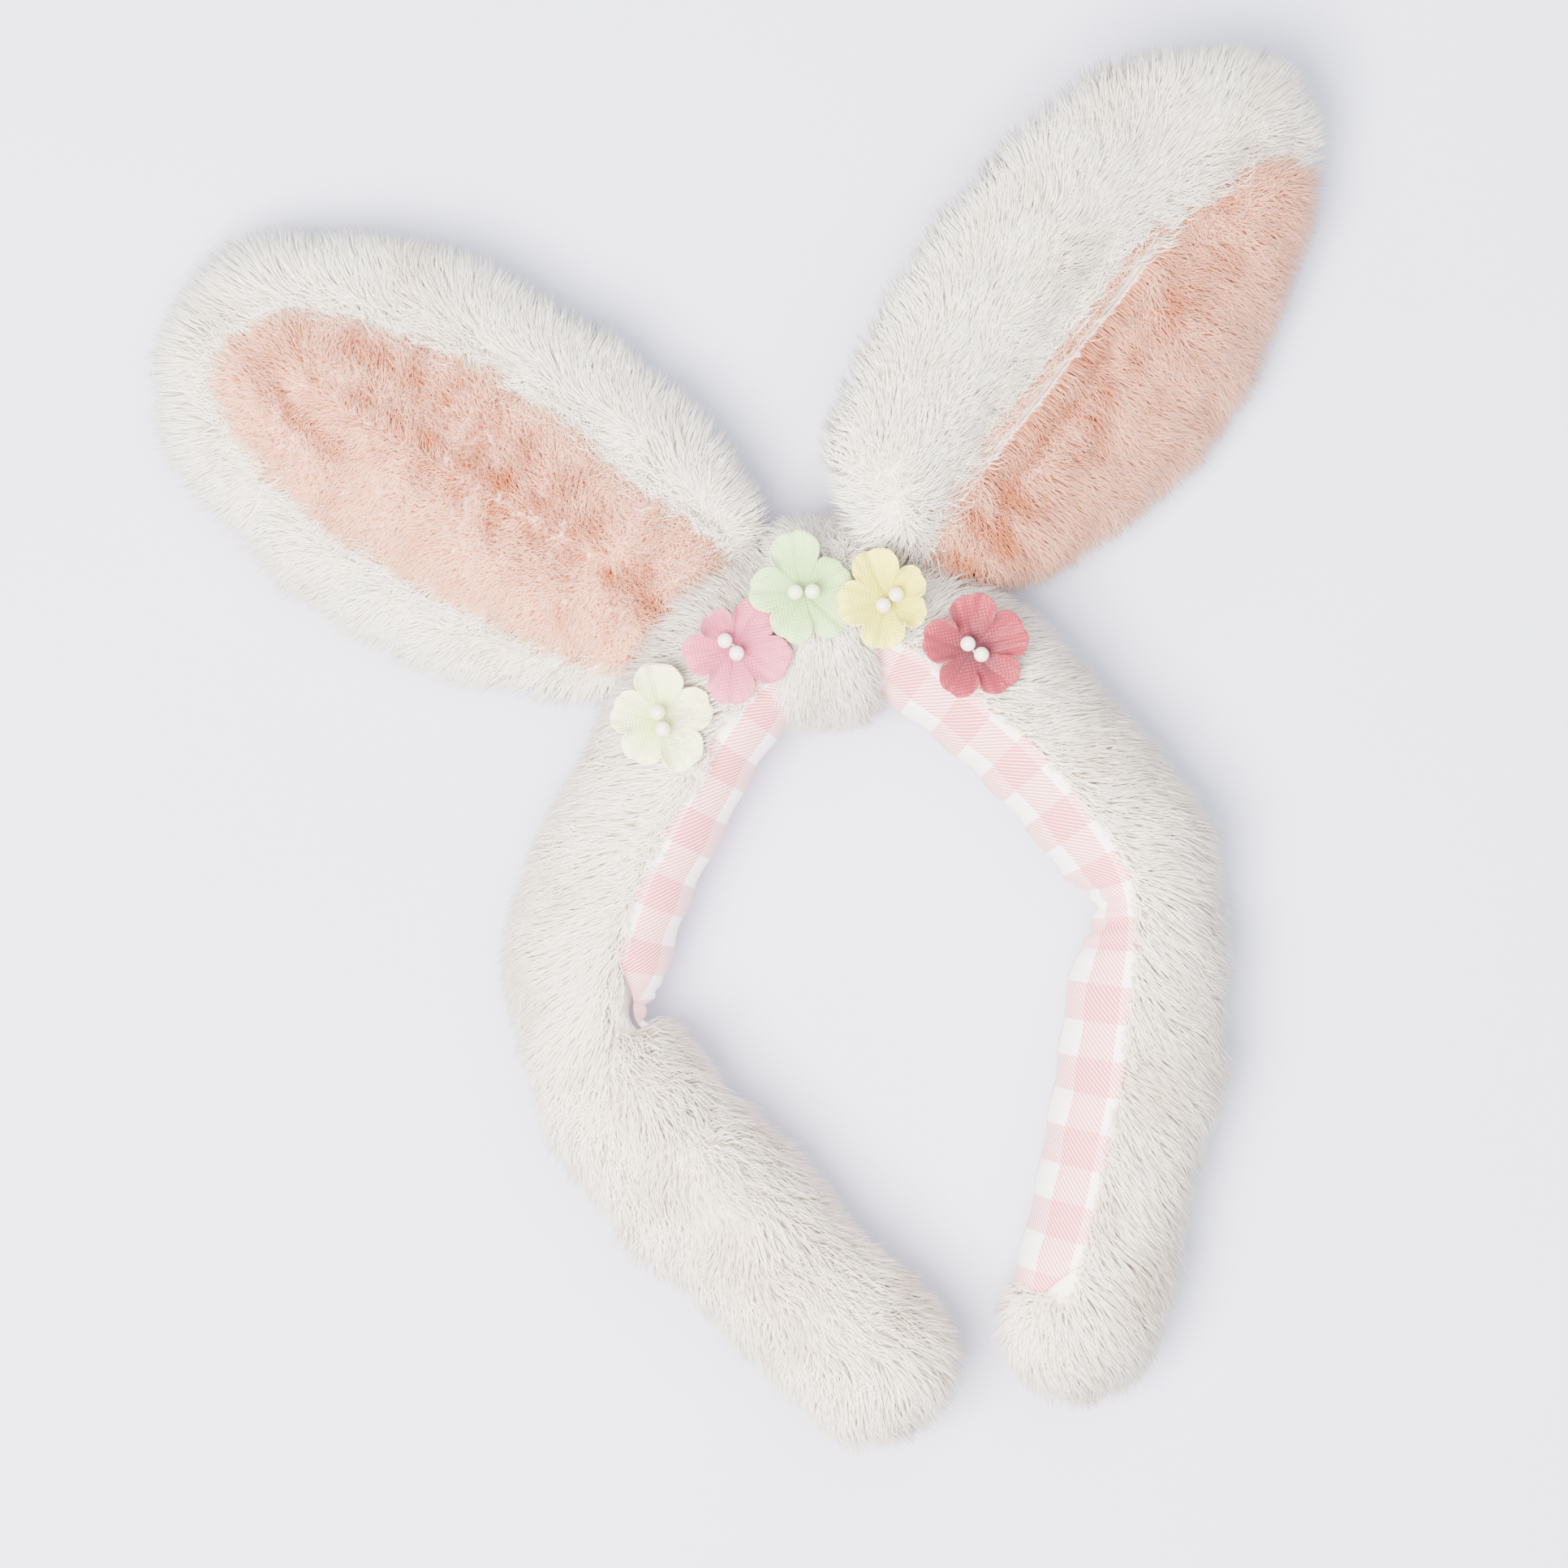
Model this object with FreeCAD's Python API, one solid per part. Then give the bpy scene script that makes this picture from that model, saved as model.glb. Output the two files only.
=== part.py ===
"""Plush rabbit-ear headband, lying face up on a table.

Frame: millimetres, +Z up from the table, +Y from the open ends of the band towards the crown, origin under
the middle of the crown on the table plane. The band is a C in the XY plane: a flat springy strip in a wadded
tube, with a woven lining on the head side and a pile cover on the rest. Two wired ears, a pile wrap at the
crown and five fabric flowers are fixed to it. Each file in parts/ is one separate piece.
"""

import FreeCAD
import Part

import math
import os

from FreeCAD import Matrix, Placement, Rotation, Vector

UP = Vector(0, 0, 1)
LEFT, RIGHT = -1, 1

# Band: the run of its centre line from the crown to each open end, and its layers
AXIS_HEIGHT = 20.0
ARMS = {
    LEFT: {"crown_radius": 55.0, "crown_turn": 52.0, "upper": 45.0, "side_radius": 48.0, "side_turn": 67.0, "lower": 76.0},
    RIGHT: {"crown_radius": 46.0, "crown_turn": 61.0, "upper": 40.0, "side_radius": 50.0, "side_turn": 53.0, "lower": 76.0},
}
SHOULDER = 66.0
STRIP_THICKNESS = 1.8
STRIP_WIDTH = 10.0
STRIP_END_GAP = 3.0
WADDING_RADIUS = 13.8
LINING_THICKNESS = 0.6
PILE = 5.9
LAYER_GAP = 0.1

# Lining: the two seams as angles round the tube, from outward over the top
CROWN_SEAMS = {LEFT: (108.0, 250.0), RIGHT: (95.0, 245.0)}
LEFT_LOWER_SEAMS = (170.0, 312.0)
LEFT_TWIST_AT = 115.0

# Crown wrap
WRAP_HALF_WIDTH = 13.5
WRAP_THICKNESS = 7.4
WRAP_BED_DEPTH = 3.0
WRAP_ROUND = 2.5

# Ears: one outline for both, measured over the pile, then a place for each
EAR_HALF_WIDTH = 44.5
EAR_WIDEST_AT = 62.0
EAR_SIDE_RADIUS = 133.5
EAR_TIP_RADIUS = 32.5
EAR_BACK = 9.0
EAR_RIM_TOP = 6.0
EAR_EDGE_ROUND = 5.0
EAR_TAPER = 14.0
EAR_OUTLINE_START = -20.0
PANEL_INSET = 14.5
PANEL_TOP = 9.0
PANEL_FABRIC = 2.1
PANEL_ROUND = 2.5
POCKET_FLOOR = -3.0
ROOT_RADIUS = 6.0
ROOT_AXIS = -1.5
ROOT_WALL = 4.0
ROOT_CLEARANCE = 2.6
EARS = {
    LEFT: {"at": (-27.6, 17.6, 15.5), "turn": 142.0, "roll": -8.0, "skew": -20.0, "anchor": 24.0},
    RIGHT: {"at": (28.8, 15.7, 28.5), "turn": 40.0, "roll": 28.0, "skew": 12.0, "anchor": 22.0},
}

# Ear wires, and the binding that holds their legs to the strip
WIRE_RADIUS = 0.8
WIRE_INSET = 1.3
WIRE_START = 9.0
WIRE_CLEARANCE = 0.25
LEG_SPREAD = 4.0
BINDING_LENGTH = 14.0
BINDING_WALL = 1.4

# Flowers
PETAL_THICKNESS = 0.5
EYELET_RADIUS = 1.9
GLUE_RADIUS = 3.5
PEARL_RADIUS = 1.85
PEARL_SPREAD = 2.1
PEARL_RISE = 2.2
PEARL_BORE_DEPTH = 1.4
STEM_RADIUS = 0.35
STEM_GAP = 0.05
STEM_SINK = 1.2
FLOWERS = {
    "cream": {"at": (-43.3, -16.3, 41.6), "reach": 13.0, "spin": 8.0, "tilt": (0.0, 4.0), "pearls": 95.0},
    "pink": {"at": (-22.0, -2.5, 44.8), "reach": 12.5, "spin": 40.0, "tilt": (0.0, -15.0), "pearls": 122.0},
    "green": {"at": (-2.7, 6.7, 46.3), "reach": 13.0, "spin": 20.0, "tilt": (-2.0, 0.0), "pearls": -10.0},
    "yellow": {"at": (16.5, 0.6, 45.0), "reach": 12.0, "spin": 30.0, "tilt": (0.0, 14.0), "pearls": 28.0},
    "rose": {"at": (34.6, -15.2, 41.6), "reach": 12.2, "spin": 12.0, "tilt": (0.0, 6.0), "pearls": 130.0},
}

# Travel of the joints, in degrees, which sets the notches that the soft layers need
ARM_OPENS, ARM_CLOSES = 16.0, 3.0

TIP_FORWARD, TIP_BACKWARD = 60.0, 20.0
TIP_FOLD_AT = 80.0
NOTCH_SPARE = 1.5
NOTCH_GAP = 0.2

FAR = 400.0
FABRIC_RADIUS = WADDING_RADIUS + LAYER_GAP + LINING_THICKNESS
COVER_INNER = FABRIC_RADIUS + LAYER_GAP
COVER_OUTER = COVER_INNER + PILE
SIDE_NAME = {LEFT: "left", RIGHT: "right"}


def fused(shapes):
    whole = shapes[0]
    for shape in shapes[1:]:
        whole = whole.fuse(shape)
    return whole.removeSplitter()


def above_table(shape):
    return shape.common(Part.makeBox(2 * FAR, 2 * FAR, FAR, Vector(-FAR, -FAR, 0)))


# ---- the band's path -------------------------------------------------------------------------------------


def heading(side, turned):
    return Vector(side * math.cos(math.radians(turned)), -math.sin(math.radians(turned)), 0)


def outward(side, turned):
    return Vector(side * math.sin(math.radians(turned)), math.cos(math.radians(turned)), 0)


def stretches(side):
    """The arm's stretches from the crown: (length, radius or None, turn in degrees)."""
    arm = ARMS[side]
    crown_length = arm["crown_radius"] * math.radians(arm["crown_turn"])
    side_length = arm["side_radius"] * math.radians(arm["side_turn"])
    return [
        (crown_length, arm["crown_radius"], arm["crown_turn"]),
        (arm["upper"], None, 0.0),
        (side_length, arm["side_radius"], arm["side_turn"]),
        (arm["lower"], None, 0.0),
    ]


def arm_length(side):
    return sum(length for length, _, _ in stretches(side))


def moved(side, point, turned, length, radius):
    """The point and turn after going some length along one stretch."""
    if radius is None:
        return point + heading(side, turned) * length, turned
    after = turned + math.degrees(length / radius)
    centre = point - outward(side, turned) * radius
    return centre + outward(side, after) * radius, after


def station(side, along):
    """The centre line's point, heading and outward direction at a length from the crown."""
    point, turned, left = Vector(0, 0, AXIS_HEIGHT), 0.0, along
    for length, radius, _ in stretches(side):
        step = min(left, length)
        point, turned = moved(side, point, turned, step, radius)
        left -= step
    point += heading(side, turned) * left
    return point, heading(side, turned), outward(side, turned)


def swept(face, side, start, end):
    """A section (x outward, y up) carried along the arm from one length to another."""
    pieces, begins = [], 0.0
    point, turned = Vector(0, 0, AXIS_HEIGHT), 0.0
    for length, radius, _ in stretches(side):
        low, high = max(start, begins), min(end, begins + length)
        if high - low > 1e-6:
            at, now = moved(side, point, turned, low - begins, radius)
            out, ahead = outward(side, now), heading(side, now)
            across = out.cross(UP)
            place = Matrix(
                out.x, UP.x, across.x, at.x,
                out.y, UP.y, across.y, at.y,
                out.z, UP.z, across.z, at.z,
                0, 0, 0, 1,
            )
            placed = face.transformGeometry(place)
            if radius is None:
                pieces.append(placed.extrude(ahead * (high - low)))
            else:
                angle = -side * math.degrees((high - low) / radius)
                pieces.append(placed.revolve(at - out * radius, UP, angle))
        point, turned = moved(side, point, turned, length, radius)
        begins += length
    return fused(pieces)


# ---- sections --------------------------------------------------------------------------------------------


def on_circle(radius, degrees):
    return Vector(radius * math.cos(math.radians(degrees)), radius * math.sin(math.radians(degrees)), 0)


def ring_sector(inner, outer, start, end):
    middle = (start + end) / 2
    a, b = on_circle(inner, start), on_circle(outer, start)
    c, d = on_circle(outer, end), on_circle(inner, end)
    return Part.Face(Part.Wire([
        Part.LineSegment(a, b).toShape(),
        Part.Arc(b, on_circle(outer, middle), c).toShape(),
        Part.LineSegment(c, d).toShape(),
        Part.Arc(d, on_circle(inner, middle), a).toShape(),
    ]))


def disc(radius):
    return Part.Face(Part.Wire(Part.makeCircle(radius)))


def strip_section(spare=0.0):
    half_thick, half_wide = STRIP_THICKNESS / 2 + spare, STRIP_WIDTH / 2 + spare
    corners = [
        Vector(-half_thick, -half_wide, 0), Vector(half_thick, -half_wide, 0),
        Vector(half_thick, half_wide, 0), Vector(-half_thick, half_wide, 0),
    ]
    return Part.Face(Part.makePolygon(corners + corners[:1]))


# ---- notches, so that soft layers clear each other over a hinge's travel ---------------------------------


def wedge_body(closing, opening):
    """The half of space behind a hinge at the origin. The hinge is along Y, x runs ahead and z is the side
    that closes up; each face leans back by half the travel on its side."""
    lean_top = FAR * math.tan(math.radians((closing + NOTCH_SPARE) / 2))
    lean_bottom = FAR * math.tan(math.radians((opening + NOTCH_SPARE) / 2))
    corners = [
        Vector(-2 * FAR, 0, -FAR), Vector(-NOTCH_GAP - lean_bottom, 0, -FAR), Vector(-NOTCH_GAP, 0, 0),
        Vector(-NOTCH_GAP - lean_top, 0, FAR), Vector(-2 * FAR, 0, FAR),
    ]
    face = Part.Face(Part.makePolygon(corners + corners[:1]))
    face.translate(Vector(0, -FAR, 0))
    return face.extrude(Vector(0, 2 * FAR, 0))


def split_at(shape, hinge, closing, opening):
    """The pieces of a shape behind and ahead of a notched hinge."""
    behind = wedge_body(closing, opening)
    ahead = behind.mirror(Vector(0, 0, 0), Vector(1, 0, 0))
    halves = []
    for side in (behind, ahead):
        cutter = side.copy()
        cutter.Placement = hinge.multiply(cutter.Placement)
        halves.append(shape.common(cutter))
    return halves


def shoulder_hinge(side):
    """At the shoulder, with x along the arm and z outward."""
    point, ahead, out = station(side, SHOULDER)
    hinge_axis = out.cross(ahead)
    turn = Rotation(ahead, hinge_axis, out, "XZY")
    return Placement(point, turn)


def at_shoulders(shape, side):
    return split_at(shape, shoulder_hinge(side), ARM_OPENS, ARM_CLOSES)


# ---- ear outline and frame -------------------------------------------------------------------------------


def ear_place(side):
    """Carries the ear's own frame, x to the tip and z out of the pink face, to its place."""
    ear = EARS[side]
    turn = Rotation(UP, ear["turn"]).multiply(Rotation(Vector(1, 0, 0), ear["roll"]))
    return Placement(Vector(*ear["at"]), turn)


def root_hinge(side):
    """The ear's base line in its own frame, with x towards the tip."""
    return Placement(Vector(0, 0, ROOT_AXIS), Rotation(UP, EARS[side]["skew"]))


def tip_hinge():
    return Placement(Vector(TIP_FOLD_AT, 0, ROOT_AXIS), Rotation())


def outline_arcs(inset):
    """Centres and radii of the outline's side and tip arcs, and where they meet."""
    side_radius, tip_radius = EAR_SIDE_RADIUS - inset, EAR_TIP_RADIUS - inset
    below = EAR_SIDE_RADIUS - EAR_HALF_WIDTH
    along = math.sqrt((EAR_SIDE_RADIUS - EAR_TIP_RADIUS) ** 2 - below**2)
    side_centre, tip_centre = Vector(EAR_WIDEST_AT, -below, 0), Vector(EAR_WIDEST_AT + along, 0, 0)
    meet = side_centre + (tip_centre - side_centre).normalize() * side_radius
    return side_centre, side_radius, tip_centre, tip_radius, meet


def outline_point(inset, along):
    side_centre, side_radius, _, _, _ = outline_arcs(inset)
    return Vector(along, side_centre.y + math.sqrt(side_radius**2 - (along - side_centre.x) ** 2), 0)


def mirrored(point):
    return Vector(point.x, -point.y, point.z)


def ear_outline(inset, start=0.0):
    side_centre, side_radius, tip_centre, tip_radius, meet = outline_arcs(inset)
    begin = outline_point(inset, start)
    widest = side_centre + Vector(0, side_radius, 0)
    tip = tip_centre + Vector(tip_radius, 0, 0)
    return Part.Face(Part.Wire([
        Part.Arc(begin, widest, meet).toShape(),
        Part.Arc(meet, tip, mirrored(meet)).toShape(),
        Part.Arc(mirrored(meet), mirrored(widest), mirrored(begin)).toShape(),
        Part.LineSegment(mirrored(begin), begin).toShape(),
    ]))


def slab(face, low, high):
    lifted = face.copy()
    lifted.translate(Vector(0, 0, low))
    return lifted.extrude(Vector(0, 0, high - low))


def rounded(solid, heights, radius):
    edges = [
        edge for edge in solid.Edges
        if any(all(abs(vertex.Z - height) < 1e-6 for vertex in edge.Vertexes) for height in heights)
    ]
    return solid.makeFillet(radius, edges)


def beyond_root(shape, side, start):
    """What lies further from the ear's base line than start."""
    keep = Part.makeBox(2 * FAR, 2 * FAR, 2 * FAR, Vector(start, -FAR, -FAR))
    keep.Placement = root_hinge(side)
    return shape.common(keep)


def root_taper(side):
    """The space that the ear's thickness may fill, thinner towards the base line."""
    middle = ROOT_AXIS
    profile = [
        (0, middle - ROOT_RADIUS), (EAR_TAPER, -EAR_BACK), (FAR, -EAR_BACK),
        (FAR, PANEL_TOP), (EAR_TAPER, PANEL_TOP), (0, middle + ROOT_RADIUS),
    ]
    corners = [Vector(x, -FAR, z - middle) for x, z in profile]
    solid = Part.Face(Part.makePolygon(corners + corners[:1])).extrude(Vector(0, 2 * FAR, 0))
    solid.Placement = root_hinge(side)
    return solid


def root_roll(side, spare=0.0):
    """The round base that turns in the crown's pile."""
    half = outline_point(0, 0).y * 0.94
    roll = Part.makeCylinder(ROOT_RADIUS + spare, 2 * (half + spare), Vector(0, -half - spare, 0), Vector(0, 1, 0))
    roll.Placement = root_hinge(side)
    return roll


# ---- ear pieces, in the ear's own frame ------------------------------------------------------------------


def rod(start, end, radius):
    along = end - start
    return Part.makeCylinder(radius, along.Length, start, along)


def bent_rod(centre, start, degrees, radius):
    out = (start - centre).normalize()
    circle = Part.Wire(Part.makeCircle(radius, start, out.cross(UP)))
    return Part.Face(circle).revolve(centre, UP, degrees)


def anchor_points(side):
    """Where the two wire legs end beside the strip, in the ear's frame."""
    point, ahead, out = station(side, EARS[side]["anchor"])
    beside = point + out * (STRIP_THICKNESS / 2 + LAYER_GAP + WIRE_RADIUS + WIRE_CLEARANCE)
    back = ear_place(side).inverse()
    ends = [back.multVec(beside + ahead * offset) for offset in (-LEG_SPREAD, LEG_SPREAD)]
    return sorted(ends, key=lambda p: p.y)


def wire_loop(side, radius, legs_only=False):
    """One wire: up one edge of the panel, round the tip, down the other edge, and two legs to the strip."""
    inset = PANEL_INSET + WIRE_INSET
    side_centre, _, tip_centre, _, meet = outline_arcs(inset)
    level = Vector(0, 0, ROOT_AXIS)
    top_start = outline_point(inset, WIRE_START)
    low_end, high_end = anchor_points(side)
    solids = [
        rod(top_start + level, high_end, radius),
        rod(mirrored(top_start) + level, low_end, radius),
    ]
    if not legs_only:
        a, b = top_start - side_centre, meet - side_centre
        sweep = math.degrees(math.atan2(a.y, a.x) - math.atan2(b.y, b.x))
        c = meet - tip_centre
        round_tip = 2 * math.degrees(math.atan2(c.y, c.x))
        solids += [
            bent_rod(side_centre + level, meet + level, sweep, radius),
            bent_rod(mirrored(side_centre) + level, mirrored(meet) + level, -sweep, radius),
            bent_rod(tip_centre + level, mirrored(meet) + level, round_tip, radius),
            Part.makeSphere(radius, top_start + level),
            Part.makeSphere(radius, mirrored(top_start) + level),
        ]
    return fused(solids)


def ear_back_shell(side):
    """White pile back and rim: a dish with a pocket for the wadding and the pink panel."""
    dish = rounded(slab(ear_outline(0, EAR_OUTLINE_START), -EAR_BACK, EAR_RIM_TOP), (-EAR_BACK, EAR_RIM_TOP), EAR_EDGE_ROUND)
    dish = dish.common(root_taper(side)).fuse(root_roll(side)).removeSplitter()
    pocket = beyond_root(slab(ear_outline(PANEL_INSET), POCKET_FLOOR, FAR), side, ROOT_WALL)
    wire_way = wire_loop(side, WIRE_RADIUS + WIRE_CLEARANCE)
    return dish.cut(pocket).cut(wire_way)


def ear_wadding(side):
    inset = PANEL_INSET + 2 * WIRE_INSET
    fill = slab(ear_outline(inset), POCKET_FLOOR + LAYER_GAP, PANEL_FABRIC - LAYER_GAP)
    fill = beyond_root(fill, side, ROOT_WALL + LAYER_GAP)
    return fill.cut(wire_loop(side, WIRE_RADIUS + WIRE_CLEARANCE))


def ear_panel(side):
    panel = slab(ear_outline(PANEL_INSET + LAYER_GAP), PANEL_FABRIC, PANEL_TOP)
    panel = rounded(panel, (PANEL_TOP,), PANEL_ROUND).common(root_taper(side))
    panel = beyond_root(panel, side, ROOT_WALL + LAYER_GAP)
    return panel.cut(wire_loop(side, WIRE_RADIUS + WIRE_CLEARANCE))


def ear_pieces(side):
    name = SIDE_NAME[side]
    pieces = {}
    for layer, solid in (("fur_back", ear_back_shell(side)), ("wadding", ear_wadding(side)), ("pink_panel", ear_panel(side))):
        lower, upper = split_at(solid, tip_hinge(), TIP_FORWARD, TIP_BACKWARD)
        pieces[f"{name}_ear_{layer}"] = lower
        pieces[f"{name}_ear_tip_{layer}"] = upper
    pieces[f"{name}_ear_wire"] = wire_loop(side, WIRE_RADIUS)
    place = ear_place(side)
    for solid in pieces.values():
        solid.Placement = place.multiply(solid.Placement)
    return pieces


# ---- band pieces -----------------------------------------------------------------------------------------


def spring_strip():
    arms = [swept(strip_section(), side, 0, arm_length(side) - STRIP_END_GAP) for side in (LEFT, RIGHT)]
    strip = fused(arms)
    ends = []
    for side in (LEFT, RIGHT):
        tip, _, _ = station(side, arm_length(side) - STRIP_END_GAP)
        for edge in strip.Edges:
            across = abs(edge.Length - STRIP_THICKNESS) < 1e-6
            if across and (edge.CenterOfMass - tip).Length < STRIP_WIDTH:
                ends.append(edge)
    return strip.makeFillet(STRIP_WIDTH / 2 - LAYER_GAP, ends)


def half_ball(side, radius):
    point, ahead, _ = station(side, arm_length(side))
    ball = Part.makeSphere(radius, point)
    keep = Part.makeBox(2 * FAR, 2 * FAR, FAR, Vector(-FAR, -FAR, 0))
    keep.Placement = Placement(point, Rotation(UP, ahead))
    return ball.common(keep)


def seam_runs(side):
    """The lining's seams along one arm: (start, end, seams)."""
    if side == RIGHT:
        return [(0, arm_length(side), CROWN_SEAMS[side])]
    return [(0, LEFT_TWIST_AT, CROWN_SEAMS[side]), (LEFT_TWIST_AT, arm_length(side), LEFT_LOWER_SEAMS)]


def lining_strip(side):
    inner = WADDING_RADIUS + LAYER_GAP
    return fused([
        swept(ring_sector(inner, FABRIC_RADIUS, *seams), side, start, end)
        for start, end, seams in seam_runs(side)
    ])


def pile_cover(side):
    runs = [
        swept(ring_sector(COVER_INNER, COVER_OUTER, seams[1], seams[0] + 360), side, start, end)
        for start, end, seams in seam_runs(side)
    ]
    cap = half_ball(side, COVER_OUTER).cut(half_ball(side, COVER_INNER))
    return above_table(fused(runs + [cap]))


def wadding_tube(side):
    tube = swept(disc(WADDING_RADIUS), side, 0, arm_length(side)).fuse(half_ball(side, WADDING_RADIUS))
    slot = swept(strip_section(LAYER_GAP), side, 0, arm_length(side) - STRIP_END_GAP + LAYER_GAP)
    return tube.removeSplitter().cut(slot)


def crown_and_arms(make):
    """A tube layer as its crown piece and its two arms."""
    crown, arms = [], {}
    for side in (LEFT, RIGHT):
        behind, arms[side] = at_shoulders(make(side), side)
        crown.append(behind)
    return fused(crown), arms


def wrap_bed():
    """The pile that the crown wrap presses flat."""
    pressed, loose = disc(COVER_OUTER - WRAP_BED_DEPTH), disc(COVER_OUTER + LAYER_GAP)
    length = WRAP_HALF_WIDTH + LAYER_GAP
    whole, core = [fused([swept(face, side, 0, length) for side in (LEFT, RIGHT)]) for face in (loose, pressed)]
    return whole.cut(core)


def crown_wrap():
    inner = COVER_OUTER - WRAP_BED_DEPTH + LAYER_GAP
    rings = []
    for side in (LEFT, RIGHT):
        outer = swept(disc(inner + WRAP_THICKNESS), side, 0, WRAP_HALF_WIDTH)
        rings.append(outer)
    body = fused(rings)
    rims = [edge for edge in body.Edges if abs(edge.Length - 2 * math.pi * (inner + WRAP_THICKNESS)) < 0.5]
    at_ends = [edge for edge in rims if abs(edge.CenterOfMass.x) > WRAP_HALF_WIDTH / 2]
    body = body.makeFillet(WRAP_ROUND, at_ends)
    bore = fused([swept(disc(inner), side, 0, WRAP_HALF_WIDTH + 1) for side in (LEFT, RIGHT)])
    return above_table(body.cut(bore))


def binding_outer(side, spare=0.0):
    """The block that the wound thread fills round the strip and the wire legs."""
    legs = 2 * (WIRE_RADIUS + WIRE_CLEARANCE)
    inside, outside = STRIP_THICKNESS / 2 + BINDING_WALL, STRIP_THICKNESS / 2 + legs + BINDING_WALL
    tall = STRIP_WIDTH / 2 + BINDING_WALL
    corners = [
        Vector(-inside - spare, -tall - spare, 0), Vector(outside + spare, -tall - spare, 0),
        Vector(outside + spare, tall + spare, 0), Vector(-inside - spare, tall + spare, 0),
    ]
    face = Part.Face(Part.makePolygon(corners + corners[:1]))
    middle = EARS[side]["anchor"]
    return swept(face, side, middle - BINDING_LENGTH / 2 - spare, middle + BINDING_LENGTH / 2 + spare)


def wire_binding(side, legs):
    slot = swept(strip_section(LAYER_GAP), side, 0, SHOULDER)
    return binding_outer(side).cut(slot).cut(legs)


# ---- flowers ---------------------------------------------------------------------------------------------


def flower_place(flower):
    tilt_x, tilt_y = flower["tilt"]
    turn = Rotation(Vector(0, 1, 0), tilt_y).multiply(Rotation(Vector(1, 0, 0), tilt_x))
    return Placement(Vector(*flower["at"]), turn)


def petal_disc(flower):
    """Five round lobes cut from one piece of fabric, with an eyelet."""
    lobe = 0.46 * flower["reach"]
    discs = [Part.makeCylinder(lobe, PETAL_THICKNESS)]
    for step in range(5):
        at = on_circle(flower["reach"] - lobe, flower["spin"] + 72 * step)
        discs.append(Part.makeCylinder(lobe, PETAL_THICKNESS, at))
    return fused(discs).cut(Part.makeCylinder(EYELET_RADIUS, 3 * PETAL_THICKNESS, Vector(0, 0, -PETAL_THICKNESS)))


def stamens(flower):
    """Two pearls and the two stems that carry them down into the glue."""
    pearls, stems = [], []
    for way in (0, 180):
        pearl_at = on_circle(PEARL_SPREAD, flower["pearls"] + way) + UP * (PETAL_THICKNESS + PEARL_RISE)
        foot = on_circle(STEM_RADIUS + STEM_GAP, flower["pearls"] + way) - UP * STEM_SINK
        along = (pearl_at - foot).normalize()
        top = pearl_at - along * (PEARL_RADIUS - PEARL_BORE_DEPTH)
        stems.append(rod(foot, top, STEM_RADIUS))
        bore = rod(foot, top + along * STEM_GAP, STEM_RADIUS + STEM_GAP)
        pearls.append(Part.makeSphere(PEARL_RADIUS, pearl_at).cut(bore))
    return Part.makeCompound(pearls), Part.makeCompound(stems)


def glue_depth(flower):
    """How far the glue runs down to the fabric under the pile."""
    return flower["at"][2] - AXIS_HEIGHT - COVER_INNER - LAYER_GAP


def glue_dot(flower, spare=0.0):
    depth = glue_depth(flower)
    dot = Part.makeCylinder(GLUE_RADIUS + spare, depth + spare, Vector(0, 0, -depth - spare))
    return dot


def flower_pieces():
    pieces, dots, seats = {}, [], []
    for colour, flower in FLOWERS.items():
        place = flower_place(flower)
        pearls, stems = stamens(flower)
        sockets = Part.makeCompound([
            rod(*stem_ends(stem), STEM_RADIUS + STEM_GAP) for stem in stems.Solids
        ])
        dot = glue_dot(flower).cut(sockets)
        dot.translate(Vector(0, 0, -LAYER_GAP))
        seat = glue_dot(flower, LAYER_GAP)
        made = {"petals": petal_disc(flower), "pearls": pearls, "stems": stems}
        for name, solid in made.items():
            solid.Placement = place.multiply(solid.Placement)
            pieces[f"{colour}_flower_{name}"] = solid
        dot.Placement = place.multiply(dot.Placement)
        seat.Placement = place.multiply(seat.Placement)
        dots.append(dot)
        seats.append(seat)
    pieces["flower_glue_dots"] = Part.makeCompound(dots)
    return pieces, seats


def stem_ends(stem):
    """A stem's ends, run on a little so that its socket is open at the foot."""
    axis = stem.Faces[0].Surface.Axis if hasattr(stem.Faces[0].Surface, "Axis") else UP
    middle = stem.CenterOfMass
    half = stem.Volume / (math.pi * STEM_RADIUS**2) / 2 + STEM_GAP
    return middle - axis * half, middle + axis * half


# ---- everything ------------------------------------------------------------------------------------------


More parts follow.
